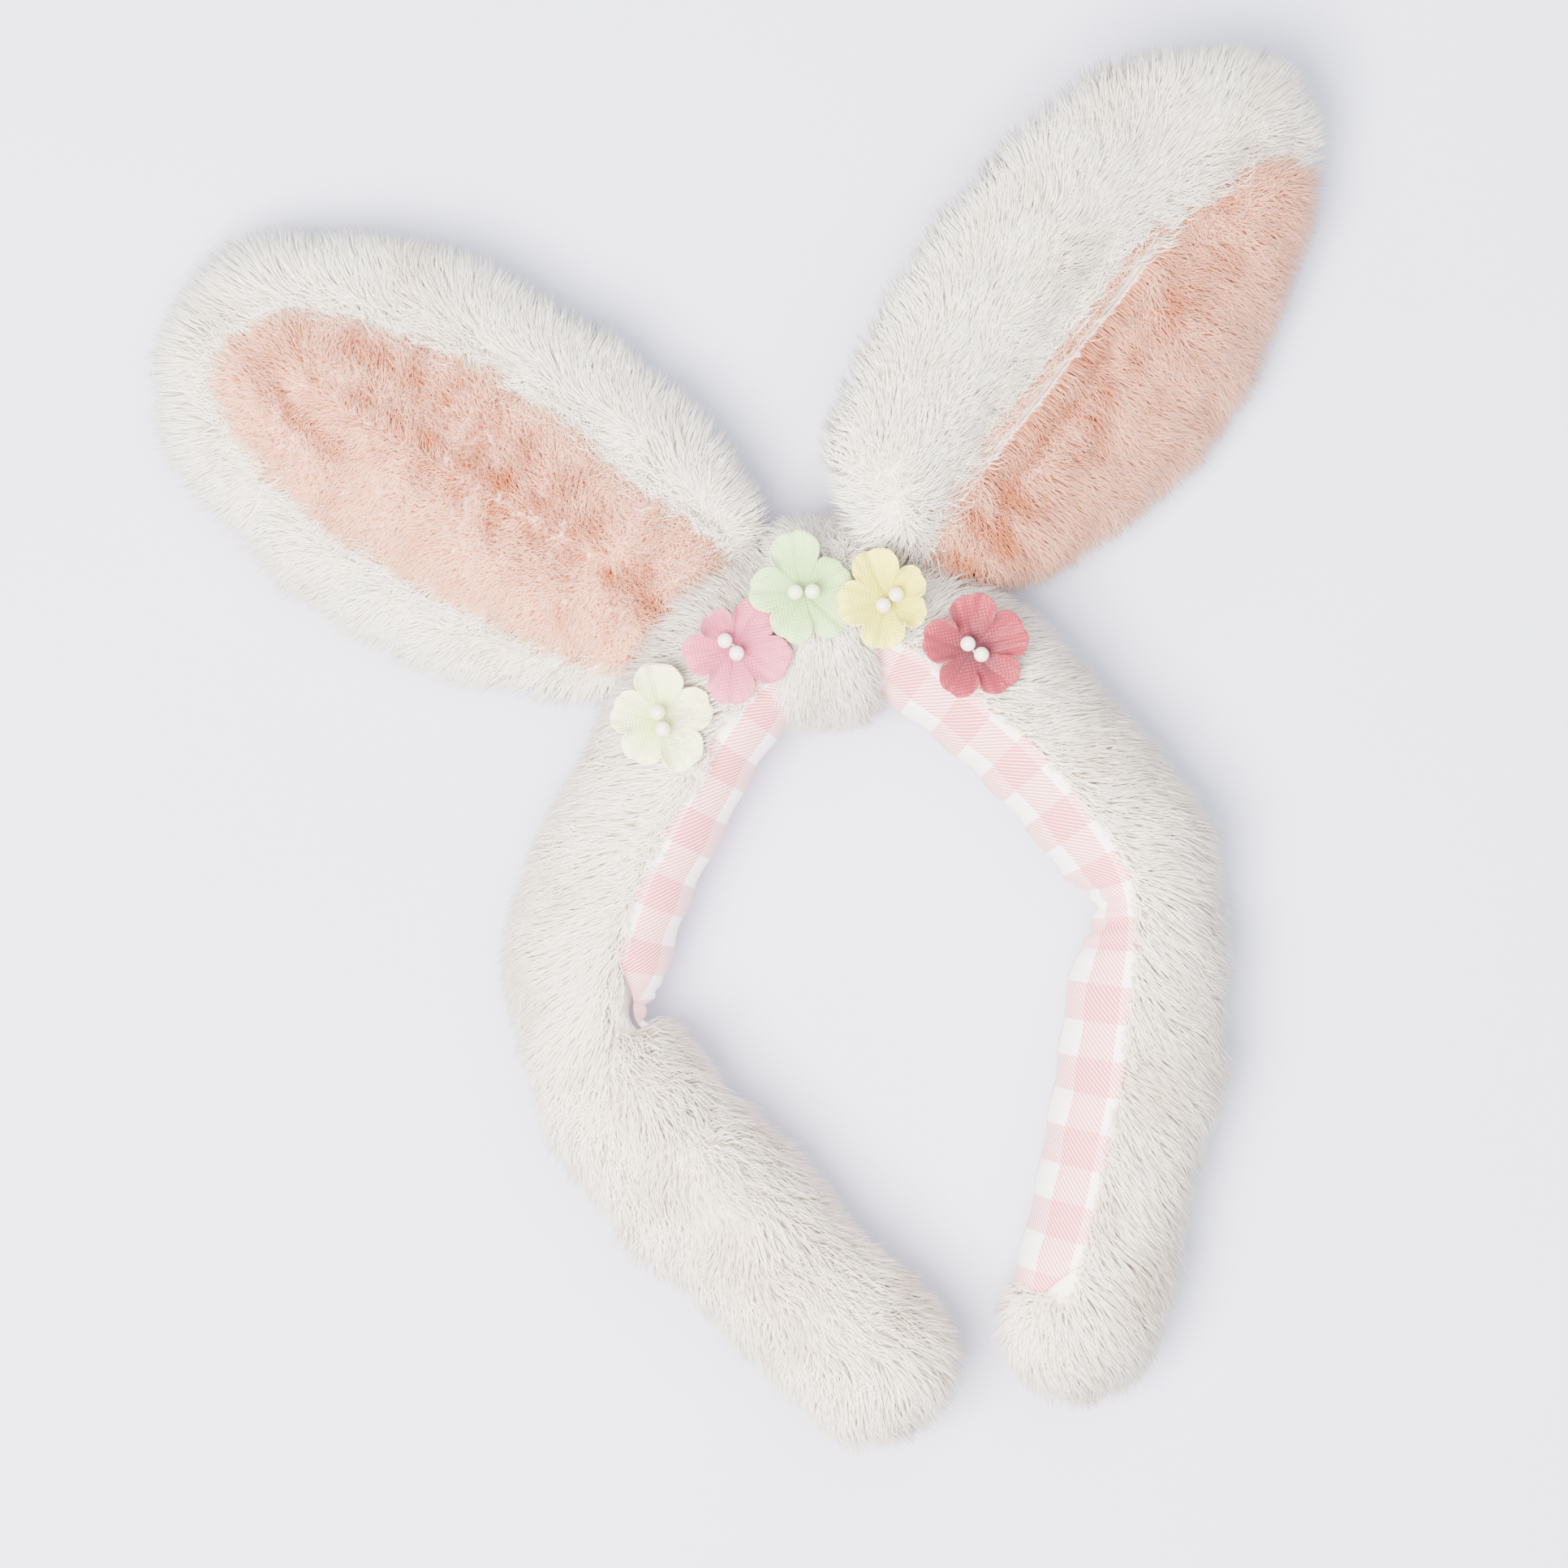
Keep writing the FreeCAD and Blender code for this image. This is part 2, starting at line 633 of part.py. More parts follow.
def build():
    pieces = {"spring_strip": spring_strip()}
    flowers, seats = flower_pieces()
    pieces.update(flowers)
    ears = {side: ear_pieces(side) for side in (LEFT, RIGHT)}

    grooves, leg_holes, bindings = [], [], []
    for side in (LEFT, RIGHT):
        place = ear_place(side)
        groove = root_roll(side, ROOT_CLEARANCE)
        groove.Placement = place.multiply(groove.Placement)
        grooves.append(groove)
        legs = wire_loop(side, WIRE_RADIUS + WIRE_CLEARANCE, legs_only=True)
        legs.Placement = place.multiply(legs.Placement)
        leg_holes.append(legs)
        bindings.append(binding_outer(side, LAYER_GAP))
        pieces[f"{SIDE_NAME[side]}_wire_binding"] = wire_binding(side, legs)
        pieces.update(ears[side])

    crown, arms = crown_and_arms(pile_cover)
    for cutter in [wrap_bed()] + grooves + leg_holes + seats:
        crown = crown.cut(cutter)
    pieces["crown_fur_cover"] = crown
    for side in (LEFT, RIGHT):
        pieces[f"{SIDE_NAME[side]}_arm_fur_cover"] = arms[side]

    crown, arms = crown_and_arms(lining_strip)
    pieces["crown_gingham_lining"] = crown
    for side in (LEFT, RIGHT):
        pieces[f"{SIDE_NAME[side]}_arm_gingham_lining"] = arms[side]

    crown, arms = crown_and_arms(wadding_tube)
    for cutter in bindings + leg_holes:
        crown = crown.cut(cutter)
    pieces["crown_wadding"] = crown
    for side in (LEFT, RIGHT):
        pieces[f"{SIDE_NAME[side]}_arm_wadding"] = arms[side]

    wrap = crown_wrap()
    for cutter in grooves + seats:
        wrap = wrap.cut(cutter)
    pieces["crown_fur_wrap"] = wrap
    return pieces


def report_joints():
    """Where the joints are, for whoever writes the record."""
    for side in (LEFT, RIGHT):
        name = SIDE_NAME[side]
        point, _, _ = station(side, SHOULDER)
        print(f"{name}_arm hinge", tuple(round(x, 3) for x in point), "axis", (0, 0, side))
        place = ear_place(side)
        for label, hinge in (("ear root", root_hinge(side)), ("ear tip", tip_hinge())):
            whole = place.multiply(hinge)
            at = whole.Base
            axis = whole.Rotation.multVec(Vector(0, -1, 0))
            print(f"{name} {label}", tuple(round(x, 3) for x in at), "axis", tuple(round(x, 6) for x in axis))


def main():
    os.makedirs("parts", exist_ok=True)
    pieces = build()
    for name, shape in sorted(pieces.items()):
        solids = shape.Solids
        if not solids or not all(solid.isValid() and solid.Volume > 0 for solid in solids):
            print("faulty piece:", name, len(solids))
        whole = solids[0] if len(solids) == 1 else Part.makeCompound(solids)
        whole.exportStep(f"parts/{name}.step")
        print(f"{name:32} solids {len(solids)} volume {sum(s.Volume for s in solids):9.1f}")
    report_joints()


main()
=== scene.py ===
import math

import bmesh
import bpy
import numpy as np
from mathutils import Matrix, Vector


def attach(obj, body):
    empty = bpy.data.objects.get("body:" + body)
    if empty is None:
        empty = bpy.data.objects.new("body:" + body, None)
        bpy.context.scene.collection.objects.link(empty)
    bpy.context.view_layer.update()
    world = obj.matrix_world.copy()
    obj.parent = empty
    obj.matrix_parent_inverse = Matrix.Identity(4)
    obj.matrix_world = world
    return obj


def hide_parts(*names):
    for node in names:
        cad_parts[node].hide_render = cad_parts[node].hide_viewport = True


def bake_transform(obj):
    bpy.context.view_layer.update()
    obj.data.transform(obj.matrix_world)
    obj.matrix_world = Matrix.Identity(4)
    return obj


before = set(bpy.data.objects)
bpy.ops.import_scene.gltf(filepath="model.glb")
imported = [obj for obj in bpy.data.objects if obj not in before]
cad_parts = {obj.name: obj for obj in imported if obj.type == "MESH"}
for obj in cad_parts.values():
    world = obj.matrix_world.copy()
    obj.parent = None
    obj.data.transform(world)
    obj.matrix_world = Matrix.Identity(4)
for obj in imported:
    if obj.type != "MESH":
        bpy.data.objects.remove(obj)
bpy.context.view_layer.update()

mm = 0.001


def linearColour(hexCode):
    values = [int(hexCode[i:i + 2], 16) / 255 for i in (1, 3, 5)]
    return tuple(v / 12.92 if v <= 0.04045 else ((v + 0.055) / 1.055) ** 2.4 for v in values) + (1.0,)


def addNode(tree, kind, settings=None, inputs=None, links=None):
    # settings are the node's own options, inputs its fixed values, links what feeds each input:
    # a socket, or a node for its first output
    node = tree.nodes.new(kind)
    for name, value in (settings or {}).items():
        setattr(node, name, value)
    for key, value in (inputs or {}).items():
        node.inputs[key].default_value = value
    for key, source in (links or {}).items():
        tree.links.new(getattr(source, "outputs", [source])[0], node.inputs[key])
    return node


def newMaterial(name, shader):
    material = bpy.data.materials.new(name)
    material.use_nodes = True
    tree = material.node_tree
    tree.nodes.clear()
    principled = addNode(tree, "ShaderNodeBsdfPrincipled", inputs=shader)
    output = addNode(tree, "ShaderNodeOutputMaterial")
    tree.links.new(principled.outputs[0], output.inputs[0])
    return material, tree, principled


def finishMaterial(made, colour, bump=None):
    material, tree, principled = made
    tree.links.new(colour, principled.inputs["Base Color"])
    if bump:
        tree.links.new(bump.outputs[0], principled.inputs["Normal"])
    return material


def newObject(name, vertices, faces, material=None, smooth=True):
    mesh = bpy.data.meshes.new(name)
    mesh.from_pydata([tuple(v) for v in np.asarray(vertices, float) * mm], [],
                     [tuple(int(i) for i in f) for f in faces])
    mesh.validate()
    if smooth:
        mesh.shade_smooth()
    piece = bpy.data.objects.new(name, mesh)
    bpy.context.scene.collection.objects.link(piece)
    if material:
        mesh.materials.append(material)
    return piece


def facesOut(piece):
    # a closed piece's faces turned to point outwards
    mesh = bmesh.new()
    mesh.from_mesh(piece.data)
    inward = mesh.calc_volume(signed=True) < 0
    mesh.free()
    if inward:
        piece.data.flip_normals()
    return piece


def setAttribute(piece, name, values, kind="FLOAT"):
    attribute = piece.data.attributes.new(name, kind, "POINT")
    key = "vector" if kind == "FLOAT_VECTOR" else "value"
    attribute.data.foreach_set(key, np.asarray(values, np.float32).ravel())


def applied(piece):
    # the modifiers' result as a plain mesh on the same object
    depsgraph = bpy.context.evaluated_depsgraph_get()
    mesh = bpy.data.meshes.new_from_object(piece.evaluated_get(depsgraph))
    piece.modifiers.clear()
    piece.data = mesh
    return piece


def smoothCurve(points, count, closed=False):
    # Catmull-Rom through the points, at even steps of length
    points = np.asarray(points, float)
    if closed:
        padded = np.vstack([points[-1:], points, points[:2]])
    else:
        padded = np.vstack([2 * points[0] - points[1], points, 2 * points[-1] - points[-2]])
    fine = []
    for a, b, c, d in zip(padded, padded[1:], padded[2:], padded[3:]):
        for t in np.linspace(0, 1, 16, endpoint=False):
            fine.append(0.5 * (2 * b + (c - a) * t + (2 * a - 5 * b + 4 * c - d) * t**2
                               + (3 * b - a - 3 * c + d) * t**3))
    fine.append(points[0] if closed else points[-1])
    fine = np.array(fine)
    run = np.concatenate([[0], np.cumsum(np.linalg.norm(np.diff(fine, axis=0), axis=1))])
    at = np.linspace(0, run[-1], count + 1 if closed else count)
    if closed:
        at = at[:-1]
    return np.stack([np.interp(at, run, fine[:, k]) for k in range(fine.shape[1])], axis=1), run[-1]


def ripple(points, size, seed):
    # a smooth uneven field, about -1 to 1, made of a few crossing waves
    rng = np.random.default_rng(seed)
    value = np.zeros(len(points))
    for _ in range(7):
        way = rng.normal(size=3)
        way /= np.linalg.norm(way)
        value += np.sin(points @ way * (2 * math.pi / (size * rng.uniform(0.7, 1.5)))
                        + rng.uniform(0, 6.28))
    return value / 3.2


def quadFaces(rows, columns, wrap=True):
    faces = []
    for i in range(rows - 1):
        for j in range(columns if wrap else columns - 1):
            k = (j + 1) % columns
            faces.append((i * columns + j, i * columns + k, (i + 1) * columns + k, (i + 1) * columns + j))
    return faces


pileColours = {
    # brushed acrylic pile: soft, matt, paler and brighter at its tips, with warm painted shade down at its
    # roots
    # mottleAndShade is the colour of darker spots: mottling, and on the ears also painted shade in the
    # dents and seams
    "brushedWhitePile": {"root": "#EBDAC6", "tip": "#FFFBF2", "shade": "#F8EDDD", "mottleAndShade": "#DCC6AB"},
    "brushedBandPile": {"root": "#E3D0B9", "tip": "#FDF5E9", "shade": "#F2E4D2", "mottleAndShade": "#CDB296"},
    "brushedPinkPile": {"root": "#D0764E", "tip": "#F7AF8D", "shade": "#E4926C", "mottleAndShade": "#A84A20"},
}


def pileMaterial(name, colours):
    # acrylic faux fur, brushed and sheared; a matt fibre with a soft bright edge
    made = newMaterial(name, {
        "Roughness": 0.72, "Sheen Weight": 0.25, "Sheen Roughness": 0.4, "Specular IOR Level": 0.25,
        "Subsurface Weight": 0.4, "Subsurface Radius": (1.0, 0.95, 0.9), "Subsurface Scale": 0.0015,
    })
    tree = made[1]
    along, shade, mottleAndShade = (addNode(tree, "ShaderNodeAttribute", {"attribute_name": name}).outputs["Fac"]
                           for name in ("along", "shade", "mottleAndShade"))
    # root colour towards the skin, tip colour outwards: the darker roots are painted shade deep in the pile
    rise = addNode(tree, "ShaderNodeMapRange", inputs={1: 0.0, 2: 0.75}, links={0: along})
    body = addNode(tree, "ShaderNodeMix", {"data_type": "RGBA"},
                   {6: linearColour(colours["root"]), 7: linearColour(colours["tip"])},
                   {0: rise})
    some = addNode(tree, "ShaderNodeMath", {"operation": "MULTIPLY"}, {1: 0.55}, {0: shade})
    varied = addNode(tree, "ShaderNodeMix", {"data_type": "RGBA"}, {7: linearColour(colours["shade"])},
                     {0: some, 6: body.outputs[2]})
    # darker spots: mottling, and on the ears painted shade in the dents and along the seams
    mottledAndShaded = addNode(tree, "ShaderNodeMix", {"data_type": "RGBA"}, {7: linearColour(colours["mottleAndShade"])},
                      {0: mottleAndShade, 6: varied.outputs[2]})
    return finishMaterial(made, mottledAndShaded.outputs[2])


def backingMaterial(name, colour):
    # the knitted backing under the pile, seen only where the pile parts
    made = newMaterial(name, {"Roughness": 0.9, "Sheen Weight": 0.2})
    tree = made[1]
    coordinates = addNode(tree, "ShaderNodeTexCoord")
    knit = addNode(tree, "ShaderNodeTexNoise", inputs={"Scale": 700.0, "Detail": 3.0},
                   links={"Vector": coordinates.outputs["Object"]})
    mix = addNode(tree, "ShaderNodeMix", {"data_type": "RGBA"},
                  {6: linearColour(colour), 7: linearColour("#FBF6EE")}, {0: knit})
    bump = addNode(tree, "ShaderNodeBump", inputs={"Strength": 0.5, "Distance": 0.0006},
                   links={"Height": knit})
    return finishMaterial(made, mix.outputs[2], bump)


ginghamLook = {"check": 0.0092, "twill": 0.0013, "white": "#FEFBFA", "half": "#F3AEB4", "full": "#DD6E7A"}


def ginghamMaterial():
    # cotton-polyester gingham twill: white and rose yarns crossing in even checks, with fine slanted ribs
    look = ginghamLook
    made = newMaterial("ginghamTwill", {"Roughness": 0.62, "Sheen Weight": 0.2, "Specular IOR Level": 0.3})
    tree = made[1]
    uv = addNode(tree, "ShaderNodeUVMap", {"uv_map": "cloth"})
    parts = addNode(tree, "ShaderNodeSeparateXYZ", links={0: uv})
    stripes = []
    for index, shift in ((0, 0.0), (1, 0.0003)):
        cell = addNode(tree, "ShaderNodeMath", {"operation": "ADD"}, {1: shift}, {0: parts.outputs[index]})
        wave = addNode(tree, "ShaderNodeMath", {"operation": "PINGPONG"}, {1: look["check"]}, {0: cell})
        band = addNode(tree, "ShaderNodeMapRange",
                       inputs={1: look["check"] * 0.49, 2: look["check"] * 0.51}, links={0: wave})
        stripes.append(band)
    slant = addNode(tree, "ShaderNodeMath", {"operation": "ADD"}, {}, {0: parts, 1: parts.outputs[1]})
    rib = addNode(tree, "ShaderNodeMath", {"operation": "PINGPONG"}, {1: look["twill"] / 2}, {0: slant})
    ribShade = addNode(tree, "ShaderNodeMapRange",
                       inputs={1: look["twill"] * 0.12, 2: look["twill"] * 0.38}, links={0: rib})
    both = addNode(tree, "ShaderNodeMath", {"operation": "ADD"}, {},
                   {0: stripes[0].outputs[0], 1: stripes[1].outputs[0]})
    # on a half-coloured check every other rib shows the rose yarn
    ribbed = addNode(tree, "ShaderNodeMath", {"operation": "MULTIPLY_ADD"}, {1: 0.7, 2: -0.35},
                     {0: ribShade})
    edge = addNode(tree, "ShaderNodeMath", {"operation": "MULTIPLY"}, {}, {0: ribbed, 1: both})
    depth = addNode(tree, "ShaderNodeMath", {"operation": "MULTIPLY_ADD", "use_clamp": True}, {1: 0.5},
                    {0: both, 2: edge})
    ramp = addNode(tree, "ShaderNodeValToRGB", links={0: depth})
    ramp.color_ramp.elements[0].color = linearColour(look["white"])
    ramp.color_ramp.elements[1].color = linearColour(look["full"])
    ramp.color_ramp.elements.new(0.5).color = linearColour(look["half"])
    bump = addNode(tree, "ShaderNodeBump", inputs={"Strength": 0.35, "Distance": 0.0002},
                   links={"Height": ribShade})
    return finishMaterial(made, ramp.outputs[0], bump)


voileThread = 0.0008


def petalMaterial(name, inner, outer):
    # stiffened polyester voile, dyed and hot-pressed, with pressed veins and a paler rim
    made = newMaterial(name, {
        "Roughness": 0.55, "Sheen Weight": 0.3, "Subsurface Weight": 0.15,
        "Subsurface Radius": (0.002, 0.0015, 0.001)})
    tree = made[1]
    uv = addNode(tree, "ShaderNodeUVMap", {"uv_map": "cloth"})
    parts = addNode(tree, "ShaderNodeSeparateXYZ", links={0: uv})
    veins = addNode(tree, "ShaderNodeTexNoise", inputs={"Scale": 1.0, "Detail": 4.0, "Roughness": 0.6})
    stretch = addNode(tree, "ShaderNodeMapping", inputs={"Scale": (3.0, 60.0, 1.0)}, links={0: uv})
    tree.links.new(stretch.outputs[0], veins.inputs["Vector"])
    mixed = addNode(tree, "ShaderNodeMath", {"operation": "MULTIPLY_ADD"}, {1: 0.6, 2: -0.3}, {0: veins})
    total = addNode(tree, "ShaderNodeMath", {"operation": "ADD", "use_clamp": True}, {},
                    {0: mixed, 1: parts})
    colour = addNode(tree, "ShaderNodeMix", {"data_type": "RGBA"},
                     {6: linearColour(inner), 7: linearColour(outer)}, {0: total})
    # threads are drawn 0.8 mm apart, coarser than real voile, so that they show
    place = addNode(tree, "ShaderNodeTexCoord")
    warp, weft = (addNode(tree, "ShaderNodeTexWave", {"bands_direction": way},
                          {"Scale": 2 * math.pi / (20 * voileThread)},
                          {"Vector": place.outputs["Object"]}) for way in ("X", "Y"))
    weave = addNode(tree, "ShaderNodeMath", {"operation": "ADD"}, {},
                    {0: warp.outputs["Fac"], 1: weft.outputs["Fac"]})
    height = addNode(tree, "ShaderNodeMath", {"operation": "MULTIPLY_ADD"}, {1: 0.35}, {0: weave, 2: veins})
    bump = addNode(tree, "ShaderNodeBump", inputs={"Strength": 0.6, "Distance": 0.0004},
                   links={"Height": height})
    return finishMaterial(made, colour.outputs[2], bump)


def plainMaterial(name, colour, second, scale, shader, depth=0.0001):
    # one finish with a slight unevenness of colour and surface at its own scale
    made = newMaterial(name, shader)
    tree = made[1]
    coordinates = addNode(tree, "ShaderNodeTexCoord")
    grain = addNode(tree, "ShaderNodeTexNoise", inputs={"Scale": scale, "Detail": 4.0},
                    links={"Vector": coordinates.outputs["Object"]})
    mix = addNode(tree, "ShaderNodeMix", {"data_type": "RGBA"},
                  {6: linearColour(colour), 7: linearColour(second)}, {0: grain})
    bump = addNode(tree, "ShaderNodeBump", inputs={"Strength": 0.3, "Distance": depth},
                   links={"Height": grain})
    return finishMaterial(made, mix.outputs[2], bump)


pile = {name: pileMaterial(name, colours) for name, colours in pileColours.items()}
whiteBacking = backingMaterial("knittedWhiteBacking", "#EFE8DE")
pinkBacking = backingMaterial("knittedPinkBacking", "#CF8F76")
gingham = ginghamMaterial()
fibreFill = plainMaterial("polyesterFibreFill", "#F4F4F2", "#E4E4E2", 300.0, {"Roughness": 0.95}, 0.001)
stripPlastic = plainMaterial("mouldedPolypropylene", "#E6E4DC", "#DAD8D0", 80.0, {"Roughness": 0.4})
wireSteel = plainMaterial("drawnSteelWire", "#B8B8B8", "#A8A8A8", 900.0,
                          {"Roughness": 0.3, "Metallic": 1.0})
threadCotton = plainMaterial("woundCottonThread", "#F0EDE6", "#DDD8CC", 1500.0, {"Roughness": 0.85}, 0.0003)
hotGlue = plainMaterial("setHotMeltGlue", "#E8E2D0", "#F2EDDF", 200.0, {"Roughness": 0.3})
stemThread = plainMaterial("waxedStamenThread", "#EFE6C8", "#DCD2AE", 900.0, {"Roughness": 0.5})
# lacquered plastic pearl: creamy body under a clear pearly coat
pearlCoat = plainMaterial("lacquerPearl", "#F6F1E4", "#EADFCB", 250.0, {
    "Roughness": 0.28, "Coat Weight": 0.8, "Coat Roughness": 0.08, "Sheen Weight": 0.1}, 0.00002)
print("materials made")


# the pile is strands set on a skin by Geometry Nodes
strandSizes = {
    "ear": {"length": 8.6, "thick": 0.2, "bow": 1.2},
    "pink": {"length": 7.2, "thick": 0.19, "bow": 1.0},
    "band": {"length": 9.2, "thick": 0.25, "bow": 1.4},
    "wrap": {"length": 7.2, "thick": 0.22, "bow": 1.0},
}


strandCounts = {"band": 17500, "wrap": 12500, "rim": 17500, "back": 11500, "pink": 18000}


def strandObject(name, size):
    # a closed three-sided spike that bows away from the skin, with how far along it each point is
    vertices, along = [], []
    for t, girth in ((0.0, 1.0), (0.55, 0.8)):
        for corner in range(3):
            angle = 2 * math.pi * corner / 3
            bow = size["bow"] * math.sin(math.pi * t)
            vertices.append((bow + size["thick"] * girth * math.cos(angle),
                             size["thick"] * girth * math.sin(angle), size["length"] * t))
            along.append(t)
    vertices.append((0, 0, size["length"]))
    along.append(1.0)
    faces = [(2, 1, 0)]
    for corner in range(3):
        after = (corner + 1) % 3
        faces.append((corner, after, 3 + after, 3 + corner))
        faces.append((3 + corner, 3 + after, 6))
    strand = newObject(name, vertices, faces)
    setAttribute(strand, "along", along)
    strand.hide_render = True
    return strand


def pileTree():
    tree = bpy.data.node_groups.new("pileStrands", "GeometryNodeTree")
    face = tree.interface
    face.new_socket("Geometry", in_out="INPUT", socket_type="NodeSocketGeometry")
    for name, kind in (("Strand", "NodeSocketObject"), ("Density", "NodeSocketFloat"),
                       ("Rise", "NodeSocketFloat"),
                       ("Lean", "NodeSocketFloat"), ("Clump", "NodeSocketFloat"),
                       ("Clump size", "NodeSocketFloat"),
                       ("Stray", "NodeSocketFloat"), ("Seed", "NodeSocketInt"),
                       ("Material", "NodeSocketMaterial")):
        face.new_socket(name, in_out="INPUT", socket_type=kind)
    face.new_socket("Geometry", in_out="OUTPUT", socket_type="NodeSocketGeometry")
    given = addNode(tree, "NodeGroupInput")
    out = {s.name: s for s in given.outputs}

    # what the skin says at each point
    named = {}
    for name, kind in (("pileDensity", "FLOAT"), ("pileLength", "FLOAT"),
                       ("skinNormal", "FLOAT_VECTOR"), ("flow", "FLOAT_VECTOR")):
        node = addNode(tree, "GeometryNodeInputNamedAttribute", {"data_type": kind}, {"Name": name})
        named[name] = node.outputs["Attribute"]

    thick = addNode(tree, "ShaderNodeMath", {"operation": "MULTIPLY"}, {},
                    {0: named["pileDensity"], 1: out["Density"]})
    points = addNode(tree, "GeometryNodeDistributePointsOnFaces", {"distribute_method": "RANDOM"}, {},
                     {"Mesh": out["Geometry"], "Density": thick, "Seed": out["Seed"]})
    normal = points.outputs["Normal"]
    keptNormal = addNode(tree, "GeometryNodeStoreNamedAttribute",
                         {"data_type": "FLOAT_VECTOR", "domain": "POINT"},
                         {"Name": "skinNormal"}, {"Geometry": points.outputs["Points"], "Value": normal})
    chance = addNode(tree, "FunctionNodeRandomValue", {"data_type": "FLOAT"}, {}, {"Seed": out["Seed"]})
    shaded = addNode(tree, "GeometryNodeStoreNamedAttribute", {"data_type": "FLOAT", "domain": "POINT"},
                     {"Name": "shade"}, {"Geometry": keptNormal, "Value": chance.outputs[1]})

    position = addNode(tree, "GeometryNodeInputPosition")
    near = addNode(tree, "ShaderNodeTexVoronoi", {}, {}, {"Vector": position, "Scale": out["Clump size"]})
    pull = addNode(tree, "ShaderNodeVectorMath", {"operation": "SUBTRACT"}, {},
                   {0: near.outputs["Position"], 1: position})
    anyWay = addNode(tree, "FunctionNodeRandomValue", {"data_type": "FLOAT_VECTOR"},
                     {0: (-1, -1, -1), 1: (1, 1, 1)}, {"Seed": out["Seed"]})
    way = None
    for source, share in ((named["skinNormal"], "Rise"), (named["flow"], "Lean"), (pull, "Clump"),
                          (anyWay, "Stray")):
        push = addNode(tree, "ShaderNodeVectorMath", {"operation": "SCALE"}, {},
                       {0: source, "Scale": out[share]})
        way = addNode(tree, "ShaderNodeVectorMath", {"operation": "ADD"}, {},
                      {0: way, 1: push}) if way else push
    turned = addNode(tree, "FunctionNodeAlignRotationToVector", {"axis": "Z"}, {}, {"Vector": way})
    bowed = addNode(tree, "FunctionNodeAlignRotationToVector", {"axis": "X", "pivot_axis": "Z"}, {},
                    {"Rotation": turned, "Vector": named["skinNormal"]})
    spread = addNode(tree, "FunctionNodeRandomValue", {"data_type": "FLOAT"}, {2: 0.68, 3: 1.12},
                     {"Seed": out["Seed"]})
    size = addNode(tree, "ShaderNodeMath", {"operation": "MULTIPLY"}, {},
                   {0: spread.outputs[1], 1: named["pileLength"]})
    strand = addNode(tree, "GeometryNodeObjectInfo", {}, {}, {"Object": out["Strand"]})
    placed = addNode(tree, "GeometryNodeInstanceOnPoints", {}, {}, {
        "Points": shaded, "Instance": strand.outputs["Geometry"], "Rotation": bowed, "Scale": size})
    real = addNode(tree, "GeometryNodeRealizeInstances", links={0: placed})
    # pile that meets the table lies along it
    where = addNode(tree, "GeometryNodeInputPosition")
    split = addNode(tree, "ShaderNodeSeparateXYZ", links={0: where})
    above = addNode(tree, "ShaderNodeMath", {"operation": "MAXIMUM"}, {1: 0.0003}, {0: split.outputs[2]})
    joined = addNode(tree, "ShaderNodeCombineXYZ", {}, {}, {0: split, 1: split.outputs[1], 2: above})
    laid = addNode(tree, "GeometryNodeSetPosition", {}, {}, {"Geometry": real, "Position": joined})
    dyed = addNode(tree, "GeometryNodeSetMaterial", {}, {}, {"Geometry": laid, "Material": out["Material"]})
    addNode(tree, "NodeGroupOutput", links={0: dyed})
    return tree


strandTree = pileTree()
strands = {name: strandObject(name + "Strand", size) for name, size in strandSizes.items()}


def growPile(name, skin, density, strand, material, count, rise=0.6, lean=0.7, clump=34.0, clumpSize=170.0,
             stray=0.14, seed=1):
    # density is a value for each point of the skin; count is how many strands in all
    setAttribute(skin, "pileDensity", density)
    mesh = skin.data
    area = sum(p.area * float(np.mean([density[v] for v in p.vertices])) for p in mesh.polygons)
    modifier = skin.modifiers.new("pile", "NODES")
    modifier.node_group = strandTree
    values = {"Strand": strands[strand], "Density": count / max(area, 1e-9), "Rise": rise, "Lean": lean,
              "Clump": clump,
              "Clump size": clumpSize, "Stray": stray, "Seed": seed, "Material": material}
    for item in strandTree.interface.items_tree:
        if item.in_out == "INPUT" and item.name in values:
            modifier[item.identifier] = values[item.name]
    depsgraph = bpy.context.evaluated_depsgraph_get()
    grown = bpy.data.meshes.new_from_object(skin.evaluated_get(depsgraph))
    skin.modifiers.clear()
    skin.data.attributes.remove(skin.data.attributes["pileDensity"])
    piece = bpy.data.objects.new(name, grown)
    bpy.context.scene.collection.objects.link(piece)
    softenNormals(grown)
    addBakeMap(piece)
    print(name, len(grown.polygons), "faces")
    return piece


def softenNormals(mesh):
    # fine pile takes light much as the skin under it does, so its normals lean towards the skin's
    count = len(mesh.vertices)
    own, skin = np.zeros(count * 3, np.float32), np.zeros(count * 3, np.float32)
    mesh.vertex_normals.foreach_get("vector", own)
    mesh.attributes["skinNormal"].data.foreach_get("vector", skin)
    mixed = (0.45 * own + 0.55 * skin).reshape(-1, 3)
    mixed /= np.maximum(np.linalg.norm(mixed, axis=1), 1e-6)[:, None]
    mesh.normals_split_custom_set_from_vertices(mixed.tolist())
    for name in ("skinNormal", "flow", "pileLength"):
        if name in mesh.attributes:
            mesh.attributes.remove(mesh.attributes[name])


